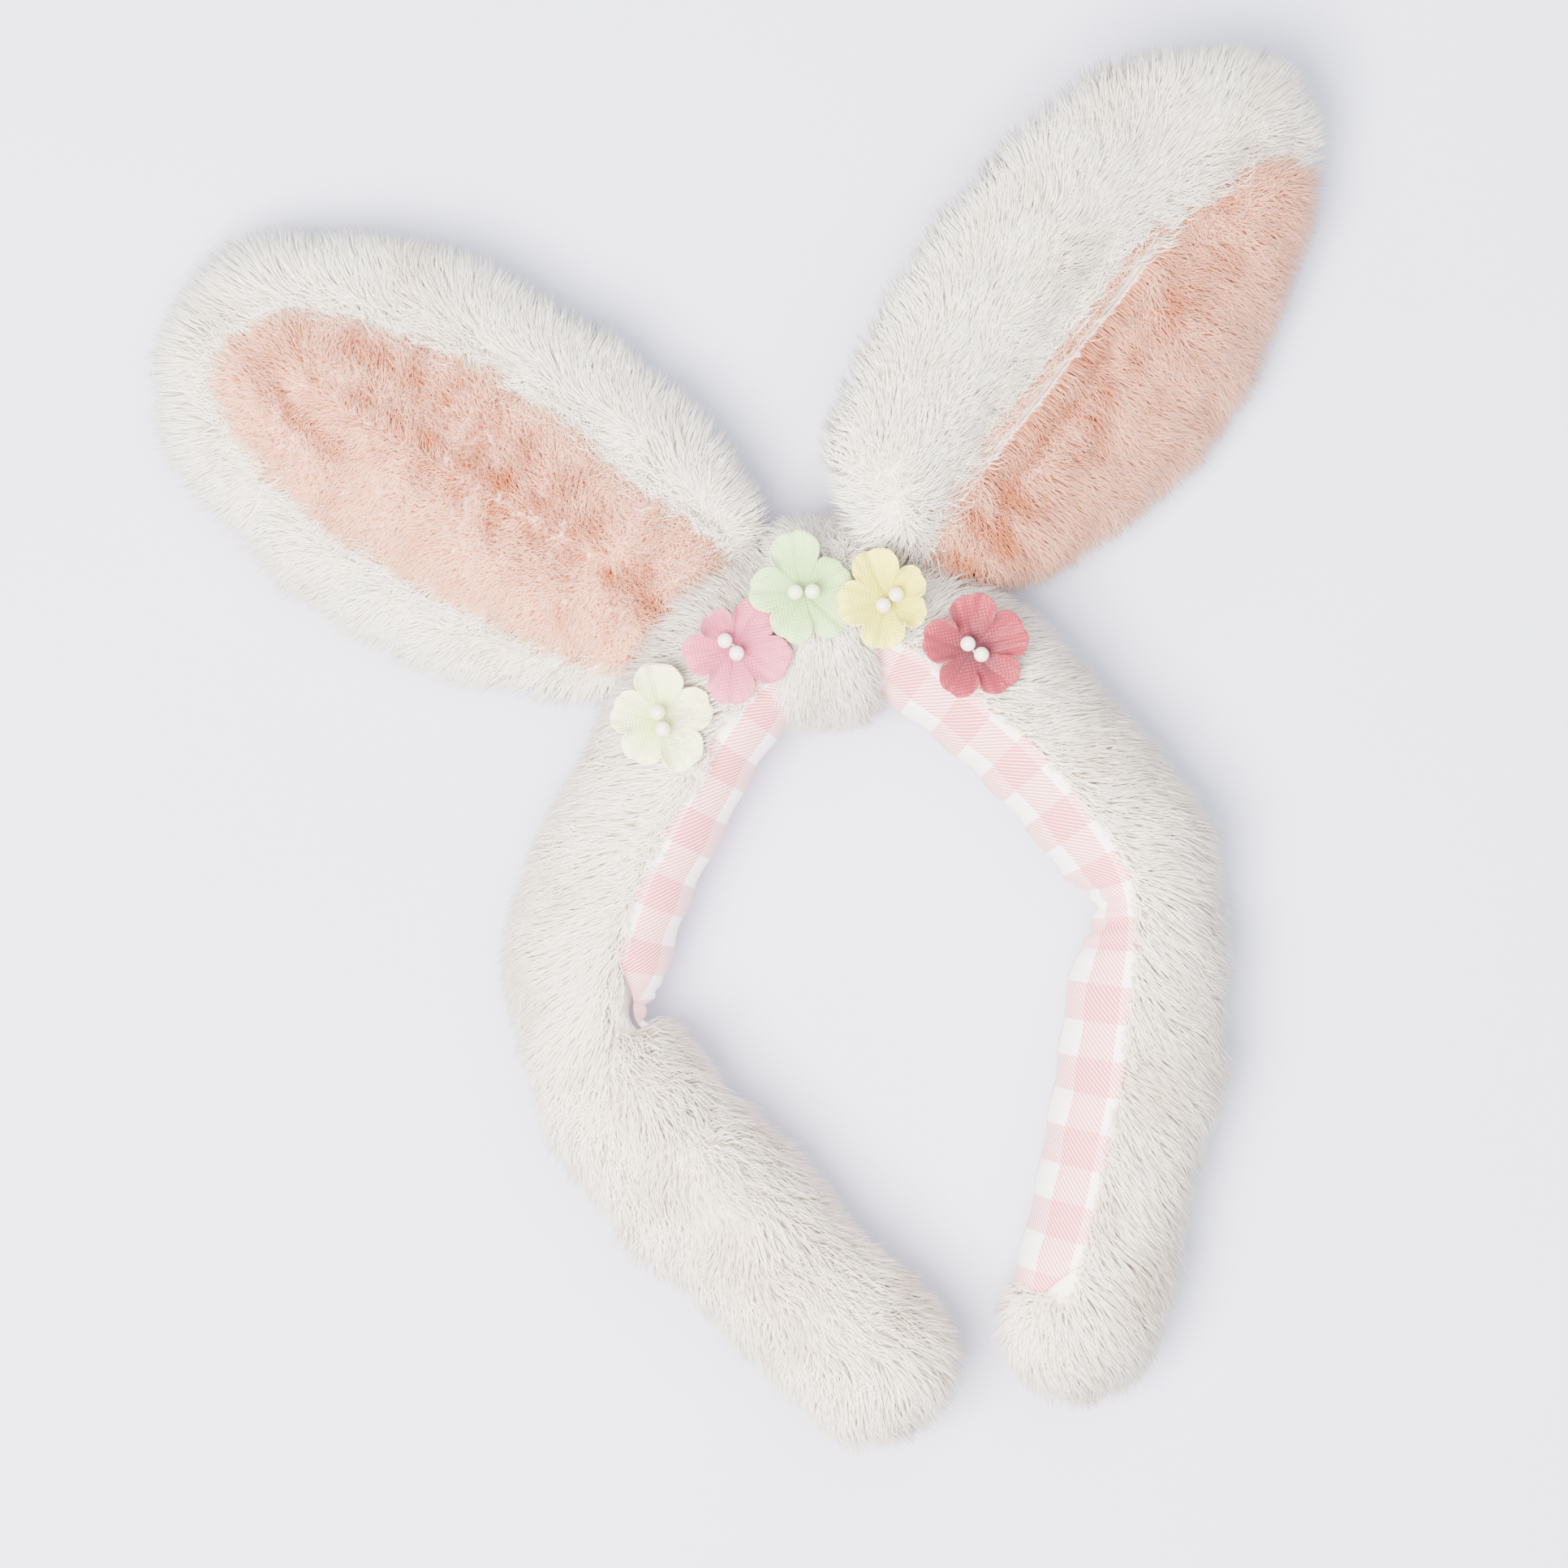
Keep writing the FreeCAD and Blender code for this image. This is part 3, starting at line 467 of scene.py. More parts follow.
def addBakeMap(piece):
    # strands laid out by where they stand, root halves in one tile and tip halves in the other
    mesh = piece.data
    count = len(mesh.loops)
    points = np.zeros(len(mesh.vertices) * 3)
    mesh.vertices.foreach_get("co", points)
    points = points.reshape(-1, 3)
    along = np.zeros(len(mesh.vertices))
    mesh.attributes["along"].data.foreach_get("value", along)
    corner = np.zeros(count, int)
    mesh.loops.foreach_get("vertex_index", corner)
    sizes = np.zeros(len(mesh.polygons), int)
    mesh.polygons.foreach_get("loop_total", sizes)
    owner = np.repeat(np.arange(len(sizes)), sizes)
    mean = np.bincount(owner, along[corner]) / sizes
    low, high = points.min(0), points.max(0)
    flat = (points - low) / (high - low + 1e-9)
    tile = np.where(mean > 0.6, 2, np.where(mean > 0.2, 1, 0))[owner]
    uv = np.stack([0.01 + 0.98 * flat[corner, 0],
                   (tile + 0.02 + 0.9 * flat[corner, 1] + 0.04 * along[corner]) / 3], axis=1)
    layer = mesh.uv_layers.new(name="OFBake")
    layer.data.foreach_set("uv", uv.astype(np.float32).ravel())


# a flower is five lobes pressed from one piece of cloth; its pile parts under it
# lifts are how far each lobe's end stands up, in mm, and sizes are the lobes' shares of the reach
flowerLooks = {
    "cream": {"drop": 1.8, "at": (-43.3, -16.3, 41.6), "reach": 13.6, "spin": 8.0, "tilt": (0.0, 4.0),
              "inner": "#B9CE6A", "outer": "#F6F6C9",
              "lifts": (2.0, 3.0, 2.6, 1.4, 2.2), "sizes": (1.0, 1.08, 0.96, 0.92, 1.04)},
    "pink": {"drop": 1.8, "at": (-22.0, -2.5, 44.8), "reach": 13.6, "spin": 40.0, "tilt": (0.0, -5.0),
             "inner": "#A33F64", "outer": "#D66F88",
             "lifts": (0.2, 6.8, 3.4, 1.6, 0.6), "sizes": (1.0, 0.95, 0.94, 1.06, 1.1)},
    "green": {"drop": 1.3, "at": (-2.7, 6.7, 46.3), "reach": 14.0, "spin": 20.0, "tilt": (-2.0, 0.0),
              "inner": "#7FAE55", "outer": "#C2DF9E",
              "lifts": (-0.8, 3.6, 2.6, 1.6, -0.9), "sizes": (0.9, 1.1, 0.98, 0.94, 1.02)},
    "yellow": {"drop": 0.6, "at": (16.5, 0.6, 45.0), "reach": 12.8, "spin": 30.0, "tilt": (0.0, 12.0),
               "inner": "#B3AD14", "outer": "#F0E967",
               "lifts": (7.5, 2.6, 1.8, 2.0, 5.8), "sizes": (0.96, 1.1, 1.06, 1.0, 0.94)},
    "rose": {"drop": 1.6, "at": (34.6, -15.2, 41.6), "reach": 13.4, "spin": 12.0, "tilt": (0.0, 6.0),
             "inner": "#4A0C22", "outer": "#9C2438",
             "lifts": (4.0, 4.8, 4.2, 2.6, 3.6), "sizes": (1.08, 1.06, 1.0, 0.94, 1.0)},
}

# the band is a wadded tube with a lining on the head side
bandSide = {
    "left": {
        "sign": -1,
        "path": [(0, 0.5), (-19, -5), (-36.5, -19.5), (-48, -33), (-61.5, -50), (-71.5, -68),
                 (-75.5, -84), (-72, -102),
                 (-64, -119.5), (-51.5, -139.5), (-41, -156), (-31.5, -171), (-24, -183)],
        "kink": 123.0, "pinch": 4.6, "lining": (0.0, 128.0), "seams": (112.0, 252.0), "girth": 1.04,
    },
    "right": {
        "sign": 1,
        "path": [(0, 0.5), (18, -6), (34, -22.5), (46, -38), (56.7, -57), (63.0, -74), (62.5, -91),
                 (57.5, -108),
                 (51, -127), (45, -141), (36.5, -160), (29.5, -174), (25.5, -183)],
        "kink": 113.0, "pinch": 4.0, "lining": (0.0, 212.0), "seams": (100.0, 248.0), "girth": 0.96,
    },
}
bandShape = {"height": 20.0, "radius": 14.4, "step": 2.5, "around": 56, "capLength": 11.0, "lumps": 0.7,
             "half": 118.0}  # half is where the pile is split in two pieces


def bandFrame(side):
    spec = bandSide[side]
    _, length = smoothCurve(spec["path"], 50)
    count = int(length / bandShape["step"]) + 1
    line, _ = smoothCurve(spec["path"], count)
    tangent = np.gradient(line, axis=0)
    tangent /= np.linalg.norm(tangent, axis=1)[:, None]
    outward = np.stack([-tangent[:, 1], tangent[:, 0]], axis=1) * spec["sign"]
    along = np.linspace(0, length, count)
    return line, tangent, outward, along, length


def bandRadius(side, along, angle):
    # the tube is pinched on its inner side where it kinks, fuller beyond, and round at its end
    spec = bandSide[side]
    inner = np.clip(-np.cos(angle), 0, 1) ** 1.3
    pinch = spec["pinch"] * np.exp(-((along - spec["kink"]) / 10.0) ** 2) * (0.35 + 0.65 * inner)
    full = (0.9 * np.exp(-((along - spec["kink"] - 40) / 26.0) ** 2)
            - 0.6 * np.exp(-((along - 30) / 20.0) ** 2))
    return bandShape["radius"] * spec["girth"] + full - pinch


def bandPoint(line, outward, radius, angle):
    x = line[0] + outward[0] * radius * math.cos(angle)
    y = line[1] + outward[1] * radius * math.cos(angle)
    return x, y, bandShape["height"] + radius * math.sin(angle)


def inLining(side, along, degrees):
    spec = bandSide[side]
    start, end = spec["lining"]
    low, high = spec["seams"]
    return start <= along <= end and low < degrees < high


def makeBandSkin(side):
    spec = bandSide[side]
    line, tangent, outward, along, length = bandFrame(side)
    around = bandShape["around"]
    vertices, flow, density, longer = [], [], [], []
    cap = [math.sin(t) for t in np.linspace(0, math.pi / 2, 6)[1:]]
    rings = [(line[i], tangent[i], outward[i], along[i], 1.0) for i in range(len(along))]
    for rise in cap[:-1]:
        rings.append((line[-1] + tangent[-1] * bandShape["capLength"] * rise, tangent[-1], outward[-1],
                      length + bandShape["capLength"] * rise, math.sqrt(max(0.0, 1 - rise**2))))
    for centre, ahead, out, s, shrink in rings:
        for j in range(around):
            angle = 2 * math.pi * j / around
            degrees = math.degrees(angle)
            radius = float(bandRadius(side, s, angle)) * shrink
            lined = inLining(side, s, degrees)
            if lined:
                radius -= 0.9
            p = bandPoint(centre, out, radius, angle)
            vertices.append(p)
            circle = np.array([-math.sin(angle) * out[0], -math.sin(angle) * out[1], math.cos(angle)])
            away = -math.sin(angle) if s < spec["kink"] + 8 or side == "right" else -0.35 * math.sin(angle)
            forward = np.array([ahead[0], ahead[1], 0.0])
            direction = (forward * (0.62 if s > 25 else 0.25)
                         + circle * (-1 if math.sin(angle) > 0 else 1) * abs(away) * 0.75)
            flow.append(direction)
            margin = inLining(side, s, degrees - 5) and inLining(side, s, degrees + 5)
            under = 0.45 if 215 < degrees < 325 else 1.0
            density.append(0.0 if margin else under * (0.5 if lined else 1.0))
            longer.append(0.75 if 215 < degrees < 325 else 1.0 + 0.12 * (s < 52))
    vertices.append((*(line[-1] + tangent[-1] * bandShape["capLength"]), bandShape["height"]))
    flow.append((*tangent[-1], 0))
    density.append(1.0)
    longer.append(1.0)
    vertices, flow = np.array(vertices), np.array(flow)
    uneven = ripple(vertices, 34, 5 if side == "left" else 6)
    middle = np.array([(r[0][0], r[0][1], bandShape["height"]) for r in rings for _ in range(around)]
                      + [tuple(vertices[-1])])
    spoke = vertices - middle
    spoke /= np.maximum(np.linalg.norm(spoke, axis=1), 1e-6)[:, None]
    vertices = vertices + spoke * (uneven * bandShape["lumps"])[:, None]
    flow += np.stack([ripple(vertices, 15, k) for k in (21, 22, 23)], axis=1) * 0.28
    faces = quadFaces(len(rings), around)
    last, tip = (len(rings) - 1) * around, len(vertices) - 1
    faces += [(last + j, last + (j + 1) % around, tip) for j in range(around)]
    faces.append(tuple(range(around))[::-1])
    skin = facesOut(newObject(side + "BandBacking", vertices, faces, whiteBacking))
    setAttribute(skin, "flow", flow, "FLOAT_VECTOR")
    longer = np.array(longer) * (1 + 0.12 * ripple(vertices, 20, 9))
    setAttribute(skin, "pileLength", longer * partedPile(vertices))
    setAttribute(skin, "mottleAndShade",
                 np.clip(ripple(vertices, 24, 12) * 0.45 + 0.2 * ripple(vertices, 9, 15), 0, 0.5))
    runs = np.array([r[3] for r in rings for _ in range(around)] + [length])
    return skin, np.array(density), runs


def makeLining(side):
    # a strip of cloth from seam to seam, fuller between them, bunched up where the tube kinks
    spec = bandSide[side]
    line, _, outward, along, length = bandFrame(side)
    low, high = spec["seams"]
    across = 30
    fine = 4  # rows of the lining to each step of the band
    dense = np.linspace(spec["lining"][0], min(spec["lining"][1], length),
                        int(spec["lining"][1] * fine / bandShape["step"]))
    vertices, uv = [], []
    cx, cy = np.interp(dense, along, line[:, 0]), np.interp(dense, along, line[:, 1])
    ox, oy = np.interp(dense, along, outward[:, 0]), np.interp(dense, along, outward[:, 1])
    for i, s in enumerate(dense):
        taper = min(1.0, max(0.08, (spec["lining"][1] - s) / 26.0)) if side == "left" else min(1.0,
                0.5 + (spec["lining"][1] - s) / 20.0)
        middle = (low + high) / 2
        for j in range(across + 1):
            f = j / across
            degrees = middle + (f - 0.5) * (high - low) * taper
            angle = math.radians(degrees)
            bulge = 3.4 * math.sin(math.pi * f) ** 0.8
            kink = math.exp(-((s - spec["kink"]) / 13.0) ** 2)
            pucker = kink * 0.8 * math.sin(2 * math.pi * s / 5.2
                                           + 2.2 * math.sin(3.0 * f + 0.12 * s)) * math.sin(math.pi * f)
            loose = 0.35 * math.sin(2 * math.pi * s / 17 + 5 * f) * math.sin(math.pi * f)
            radius = float(bandRadius(side, s, angle)) + 0.3 + bulge * (1 - 0.55 * kink) + pucker + loose
            vertices.append(bandPoint((cx[i], cy[i]), (ox[i], oy[i]), radius, angle))
            uv.append((s * mm, (f - 0.5) * 0.044 * taper + 0.0045))
    columns = across + 1
    faces = quadFaces(len(dense), columns, wrap=False)
    lining = newObject(side + "GinghamLining", vertices, faces, gingham)
    layer = lining.data.uv_layers.new(name="cloth")
    for loop in lining.data.loops:
        layer.data[loop.index].uv = uv[loop.vertex_index]
    area = sum(p.area for p in lining.data.polygons)
    run = (dense[-1] - dense[0]) * mm
    solid = lining.modifiers.new("cloth", "SOLIDIFY")
    solid.thickness, solid.offset = 0.0005, -1
    facesOut(applied(lining))
    return lining, area, run


def makeFill(side):
    # the fibre fill inside the tube
    line, _, outward, along, _ = bandFrame(side)
    vertices = []
    for i in range(len(along)):
        for j in range(24):
            angle = 2 * math.pi * j / 24
            radius = (float(bandRadius(side, along[i], angle)) - 2.0) * (1.0 if i < len(along) - 1 else 0.6)
            vertices.append(bandPoint(line[i], outward[i], radius, angle))
    faces = (quadFaces(len(along), 24)
             + [tuple(range(24))[::-1], tuple(range(len(vertices) - 24, len(vertices)))])
    return facesOut(newObject(side + "ArmFill", vertices, faces, fibreFill))


seatSize = {"reach": 11.5, "low": 28.0, "pressed": 0.2}


def partedPile(points):
    # how much of the pile's length is left where a flower presses it down
    left = np.ones(len(points))
    for look in flowerLooks.values():
        apart = np.sum((points[:, :2] - np.array(look["at"][:2])) ** 2, axis=1)
        near = np.exp(-(apart / seatSize["reach"] ** 2) ** 2)
        left = np.minimum(left, 1 - seatSize["pressed"] * near * (points[:, 2] > seatSize["low"]))
    return left


def finishBand(piece, side, slotName, *nodes):
    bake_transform(piece)
    if nodes:
        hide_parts(*nodes)


for side in ("left", "right"):
    skin, density, runs = makeBandSkin(side)
    half = bandShape["half"]
    upper, lower = np.clip((half + 4 - runs) / 8, 0, 1), np.clip((runs - half + 4) / 8, 0, 1)
    for label, part, seed in (("Upper", upper, 3), ("Lower", lower, 4)):
        piece = growPile(side + "BandPile" + label, skin, density * part, "band", pile["brushedBandPile"],
                         strandCounts["band"], seed=seed)
        finishBand(piece, side, "band_fur")
    finishBand(skin, side, "band_fur", "crown_fur_cover", side + "_arm_fur_cover")
    lining, area, run = makeLining(side)
    finishBand(lining, side, "gingham", "crown_gingham_lining", side + "_arm_gingham_lining")
    fill = makeFill(side)
    finishBand(fill, side, "wadding", "crown_wadding", side + "_arm_wadding")
print("band made")


# the crown wrap is a strip of pile wound once round the tube
wrapShape = {"radius": 19.2, "halfWidth": 8.2, "edge": 3.4, "lean": 10.0, "centre": (0.6, -0.6, 20.3),
             "around": 64}


def makeWrap():
    shape = wrapShape
    turn = math.radians(shape["lean"])
    vertices, flow, density = [], [], []
    outline = [(-shape["halfWidth"] - 1.0, -shape["edge"]), (-shape["halfWidth"] - 0.5, -1.0),
               (-shape["halfWidth"] + 1.0, 0.3)]
    outline += [(x, 0.9) for x in np.linspace(-shape["halfWidth"] + 3, shape["halfWidth"] - 3, 6)]
    outline += [(-x, r) for x, r in outline[:3]][::-1]
    for x, r in outline:
        for j in range(shape["around"]):
            angle = 2 * math.pi * j / shape["around"]
            radius = shape["radius"] + r
            y, z = radius * 1.02 * math.cos(angle), radius * 0.93 * math.sin(angle)
            vertices.append((shape["centre"][0] + x * math.cos(turn) + y * math.sin(turn),
                             shape["centre"][1] + y * math.cos(turn) - x * math.sin(turn),
                             max(0.8, shape["centre"][2] + z)))
            way = 1 if math.cos(angle) < 0 else 0.5
            flow.append((0.18 * x / shape["halfWidth"], -way * abs(math.sin(angle)),
                         0.25 * math.cos(angle)))
            density.append(0.4 if 215 < math.degrees(angle) < 325 else 1.0)
    vertices = np.array(vertices)
    faces = quadFaces(len(outline), shape["around"])
    count = shape["around"]
    last = len(vertices) - count
    faces += [(j, (j + 1) % count, last + (j + 1) % count, last + j) for j in range(count)]
    wrap = facesOut(newObject("crownWrapBacking", vertices, faces, whiteBacking))
    setAttribute(wrap, "flow", np.array(flow) + np.stack([ripple(vertices, 12, k) for k in (31, 32, 33)],
            axis=1) * 0.2, "FLOAT_VECTOR")
    setAttribute(wrap, "pileLength", 1.05 * partedPile(vertices))
    setAttribute(wrap, "mottleAndShade", np.clip(ripple(vertices, 15, 13) * 0.4, 0, 0.5))
    edge = np.array([1.0 if 1 < i < len(outline) - 2 else 0.6 for i in range(len(outline))
                     for _ in range(count)])
    return wrap, np.array(density) * edge


wrap, wrapDensity = makeWrap()
wrapPile = growPile("crownWrapPile", wrap, wrapDensity, "wrap", pile["brushedWhitePile"],
                    strandCounts["wrap"], rise=0.55, lean=0.6, seed=8)
for piece in (wrap, wrapPile):
    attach(piece, "crown")
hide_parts("crown_fur_wrap")
print("wrap made")


# an ear has a pile back and rim, and a pink panel let into its front
earShape = {
    "left": {
        "root": (-31.4, 8.5), "axis": 138.0, "flip": -1, "place": (-27.6, 17.6, 15.5), "turn": 142.0,
        "roll": -8.0,
        "outline": [(-5, 30), (10, 39), (25, 45), (38, 47), (53, 49), (67, 49), (85, 49), (102, 46),
                    (119, 39), (134, 30),
                    (144, 19), (148, 6), (147, -7), (140, -20), (132, -29), (117, -36), (104, -39),
                    (92, -43), (78, -45),
                    (61, -45), (46, -44), (30, -38), (15, -33), (3, -28), (-6, -12), (-9, 10)],
        "panel": [(-115, 103), (-124, 101), (-133, 95), (-135, 89), (-133, 80), (-130, 70),
                  (-123, 58), (-111, 45),
                  (-98, 30), (-80, 16), (-62.5, 4), (-46, -5.5), (-38, -5), (-25, 6), (-19, 13),
                  (-15.5, 19), (-24, 31),
                  (-34, 43), (-43.5, 55), (-53, 67.5), (-67, 81), (-81, 90), (-94, 97), (-103, 101)],
        # dents and ridges: place, half length, half width, direction, height
        "relief": [((-112, 77), 16, 4.5, 118, -3.2), ((-103, 80), 17, 5, 118, 1.8),
                   ((-77, 60), 34, 7, 140, -1.8),
                   ((-52, 28), 22, 6, 134, -2.4), ((-38, 13), 8, 5, 110, -2.4),
                   ((-88, 38), 38, 5, 142, 1.4)],
        # darker spots of the pink pile over the dents, partly mottling and partly painted shade: place,
        # half length, half width, direction, strength
        "mottleAndShadeSpots": [((-82, 62), 30, 12, 140, 0.75), ((-57, 36), 24, 10, 136, 0.8),
                    ((-40, 15), 10, 7, 120, 0.8),
                    ((-113, 77), 14, 5, 118, 0.85), ((-92, 84), 22, 5, 150, 0.55)],
    },
    "right": {
        "root": (24.9, 11.1), "axis": 40.2, "flip": 1, "place": (28.8, 15.7, 28.5), "turn": 40.0,
        "roll": 28.0,
        "outline": [(1, 26), (11, 34), (25, 38), (40, 41), (59, 43), (79, 43.5), (98, 41), (115, 36),
                    (130, 28), (144, 15),
                    (150, 5), (150, -5), (144, -15), (135, -23), (122, -29), (110, -33), (94, -38),
                    (77, -42), (58, -41),
                    (40, -37), (24, -32), (12, -27), (2, -16), (-5, 4)],
        "panel": [(35, 1), (25, 10), (29, 19), (38, 30), (50, 42), (62, 53), (75, 65), (85, 73),
                  (97, 81), (108, 86),
                  (119, 90), (132, 92), (141, 84), (144, 72), (138, 58), (128, 44), (114, 28),
                  (98, 13), (80, 1),
                  (64, -8), (50, -8)],
        "relief": [((76, 50), 42, 3.0, 40, -3.2), ((50, 24), 20, 4, 48, -1.8),
                   ((112, 81), 24, 3.0, 22, -2.6),
                   ((76, 71), 58, 4.5, 42, -2.8), ((92, 46), 44, 12, 42, 2.2)],
        # darker spots of the pink pile over the dents, partly mottling and partly painted shade
        "mottleAndShadeSpots": [((60, 34), 34, 7, 42, 0.7), ((44, 14), 14, 8, 48, 0.75), ((100, 62), 34, 7, 40, 0.55),
                    ((84, 72), 30, 4, 38, 0.75)],
    },
}
earSkin = {"inset": 5.2, "front": 5.6, "back": 5.6, "around": 130, "rings": 22, "panelLift": 0.9}


def signedDistance(points, polygon):
    # positive inside
    polygon = np.asarray(polygon, float)
    best = np.full(len(points), 1e9)
    inside = np.zeros(len(points), bool)
    for a, b in zip(polygon, np.roll(polygon, -1, axis=0)):
        edge = b - a
        t = np.clip(((points - a) @ edge) / (edge @ edge), 0, 1)
        best = np.minimum(best, np.linalg.norm(points - (a + t[:, None] * edge), axis=1))
        crosses = (a[1] > points[:, 1]) != (b[1] > points[:, 1])
        with np.errstate(divide="ignore", invalid="ignore"):
            at = (b[0] - a[0]) * (points[:, 1] - a[1]) / (b[1] - a[1]) + a[0]
        inside ^= crosses & (points[:, 0] < at)
    return np.where(inside, best, -best)


def blobs(plan, items):
    total = np.zeros(len(plan))
    for centre, longHalf, wideHalf, direction, height in items:
        turn = math.radians(direction)
        d = plan - np.array(centre)
        u = d[:, 0] * math.cos(turn) + d[:, 1] * math.sin(turn)
        v = -d[:, 0] * math.sin(turn) + d[:, 1] * math.cos(turn)
        total += height * np.exp(-((u / longHalf) ** 2 + (v / wideHalf) ** 2))
    return total


def earPlan(side, uv):
    # from along and across the ear to the plan
    spec = earShape[side]
    turn = math.radians(spec["axis"])
    ahead = np.array([math.cos(turn), math.sin(turn)])
    across = np.array([-math.sin(turn), math.cos(turn)]) * spec["flip"]
    return np.array(spec["root"]) + uv[:, :1] * ahead + uv[:, 1:] * across


def earLift(side, plan, height):
    # from the plan and a height off the ear's own tilted plane to space
    spec = earShape[side]
    turn, roll = math.radians(spec["turn"]), math.radians(spec["roll"])
    ex = np.array([math.cos(turn), math.sin(turn), 0])
    ey = np.array([-math.sin(turn) * math.cos(roll), math.cos(turn) * math.cos(roll), math.sin(roll)])
    ez = np.cross(ex, ey)
    d = plan - np.array(spec["place"][:2])
    a = d @ ex[:2]
    c = d @ np.array([-math.sin(turn), math.cos(turn)])
    on = np.array(spec["place"]) + a[:, None] * ex + (c / math.cos(roll))[:, None] * ey
    return on + height[:, None] * ez, ex, ey, ez


def earGrid(side):
    spec = earShape[side]
    outline, _ = smoothCurve(spec["outline"], earSkin["around"], closed=True)
    tangent = np.roll(outline, -1, axis=0) - np.roll(outline, 1, axis=0)
    normal = np.stack([tangent[:, 1], -tangent[:, 0]], axis=1)
    normal /= np.linalg.norm(normal, axis=1)[:, None]
    if np.sum(normal * (outline - outline.mean(0))) < 0:
        normal = -normal
    rim = outline - normal * earSkin["inset"]
    spine = np.stack([np.clip(rim[:, 0], 26, 112),
                      np.interp(np.clip(rim[:, 0], 26, 112), (26, 112), (1.5, 2.0))], axis=1)
    return rim, spine


def makeEar(side):
    spec = earShape[side]
    rim, spine = earGrid(side)
    around, rings = len(rim), earSkin["rings"]
    share = np.sin(np.linspace(0.02, math.pi / 2, rings))
    uv, front, level = [], [], []
    for k, rho in enumerate(share):
        uv.append(spine + (rim - spine) * rho)
        front.append(np.ones(around))
        level.append(np.full(around, rho))
    for rho in share[::-1][1:]:
        uv.append(spine + (rim - spine) * rho)
        front.append(-np.ones(around))
        level.append(np.full(around, rho))
    rows = len(uv)
    uv, front, level = np.vstack(uv), np.concatenate(front), np.concatenate(level)
    plan = earPlan(side, uv)
    distance = signedDistance(plan, spec["panel"])
    crown = np.sqrt(np.clip(1 - level**3.0, 0, 1))
    height = np.where(front > 0, earSkin["front"], -earSkin["back"]) * crown
    face = np.clip((front > 0) * crown * 1.6, 0, 1)
    seam = -2.2 * np.exp(-(distance / 2.6) ** 2) + 1.6 * np.exp(-((distance + 7.5) / 4.5) ** 2)
    soft = 0.7 * ripple(np.column_stack([plan, plan[:, 0] * 0]), 26, 40 if side == "left" else 41)
    height = height + face * (seam + blobs(plan, spec["relief"]) + soft)
    points, ex, _, ez = earLift(side, plan, height)
    outPlan = earPlan(side, rim) - earPlan(side, spine)
    outPlan = np.tile(outPlan / np.linalg.norm(outPlan, axis=1)[:, None], (rows, 1))
    lifted, _, _, _ = earLift(side, plan + outPlan, height)
    outward = lifted - points
    faces = quadFaces(rows, around)
    # close the two middles
    faces.append(tuple(range(around))[::-1])
    faces.append(tuple(range((rows - 1) * around, rows * around)))
    skin = newObject(side + "EarBacking", points, faces, whiteBacking)
    facesOut(skin)
    tipward = np.tile(ex, (len(points), 1))
    wander = np.stack([ripple(points, 16, k) for k in (51, 52, 53)], axis=1)
    # the pile stands up along the seam round the pink panel, and lies over elsewhere
    upright = 1 - 0.8 * np.exp(-((distance - 1) / 5.0) ** 2) * (front > 0) * (level < 0.9)
    # down the middle it lies towards the tip, so that it has no parting there
    aside = level[:, None] ** 2
    flow = (outward * 0.8 * aside + tipward * (0.95 - 0.6 * aside) + wander * 0.25) * upright[:, None]
    setAttribute(skin, "flow", flow, "FLOAT_VECTOR")
    setAttribute(skin, "pileLength", 1 + 0.1 * ripple(points, 18, 55))
    # random mottling, with painted shade along the groove of the seam round the pink panel
    mottleAndShade = ripple(points, 20, 56) * 0.4 - 0.1 + 0.35 * np.exp(-((distance + 1) / 3) ** 2)
    setAttribute(skin, "mottleAndShade", np.clip(mottleAndShade, 0, 0.6))
    return skin, plan, distance, front, level, points, outward, ex, ez


def makePanel(side, skin, plan, distance, front, level, points, outward, ex, ez):
    spec = earShape[side]
    inside = (distance > 1.4) & (front > 0)
    mesh = skin.data
    held = [tuple(p.vertices) for p in mesh.polygons if all(inside[v] for v in p.vertices)]
    # the four-sided faces come first, then the one that closes the middle
    keep = [f for f in held if len(f) == 4] + [f for f in held if len(f) > 4]
    used = sorted({v for f in keep for v in f})
    index = {v: i for i, v in enumerate(used)}
    lift = earSkin["panelLift"] + 0.9 * (1 - np.exp(-(distance[used] / 7) ** 2))
    vertices = points[used] + ez * lift[:, None]
    panel = newObject(side + "EarPanelBacking", vertices, [tuple(index[v] for v in f) for f in keep],
                      pinkBacking)
    wander = np.stack([ripple(points[used], 15, k) for k in (61, 62, 63)], axis=1)
    upright = 1 - 0.8 * np.exp(-((distance[used] - 1) / 5.0) ** 2) * (level[used] < 0.9)
    tipward = 0.25 if side == "left" else -0.05
    lean = (outward[used] * 0.55 + ex * tipward + wander * 0.35) * upright[:, None]
    setAttribute(panel, "flow", lean, "FLOAT_VECTOR")
    edge = np.exp(-((distance[used] - 1) / 3.5) ** 2)
    setAttribute(panel, "pileLength", 1 + 0.1 * ripple(points[used], 12, 64) - 0.12 * edge)
    # darker spots laid over the dents, partly mottling and partly painted shade, and painted shade at the
    # edge along the seam
    mottleAndShadeSpots = blobs(plan[used], spec["mottleAndShadeSpots"])
    panelMottleAndShade = (mottleAndShadeSpots * (0.9 + 0.7 * ripple(points[used], 8, 66)) + 0.3 * ripple(points[used], 13, 67)
               + 0.3 * edge)
    setAttribute(panel, "mottleAndShade", np.clip(panelMottleAndShade, 0, 0.95))
    return panel


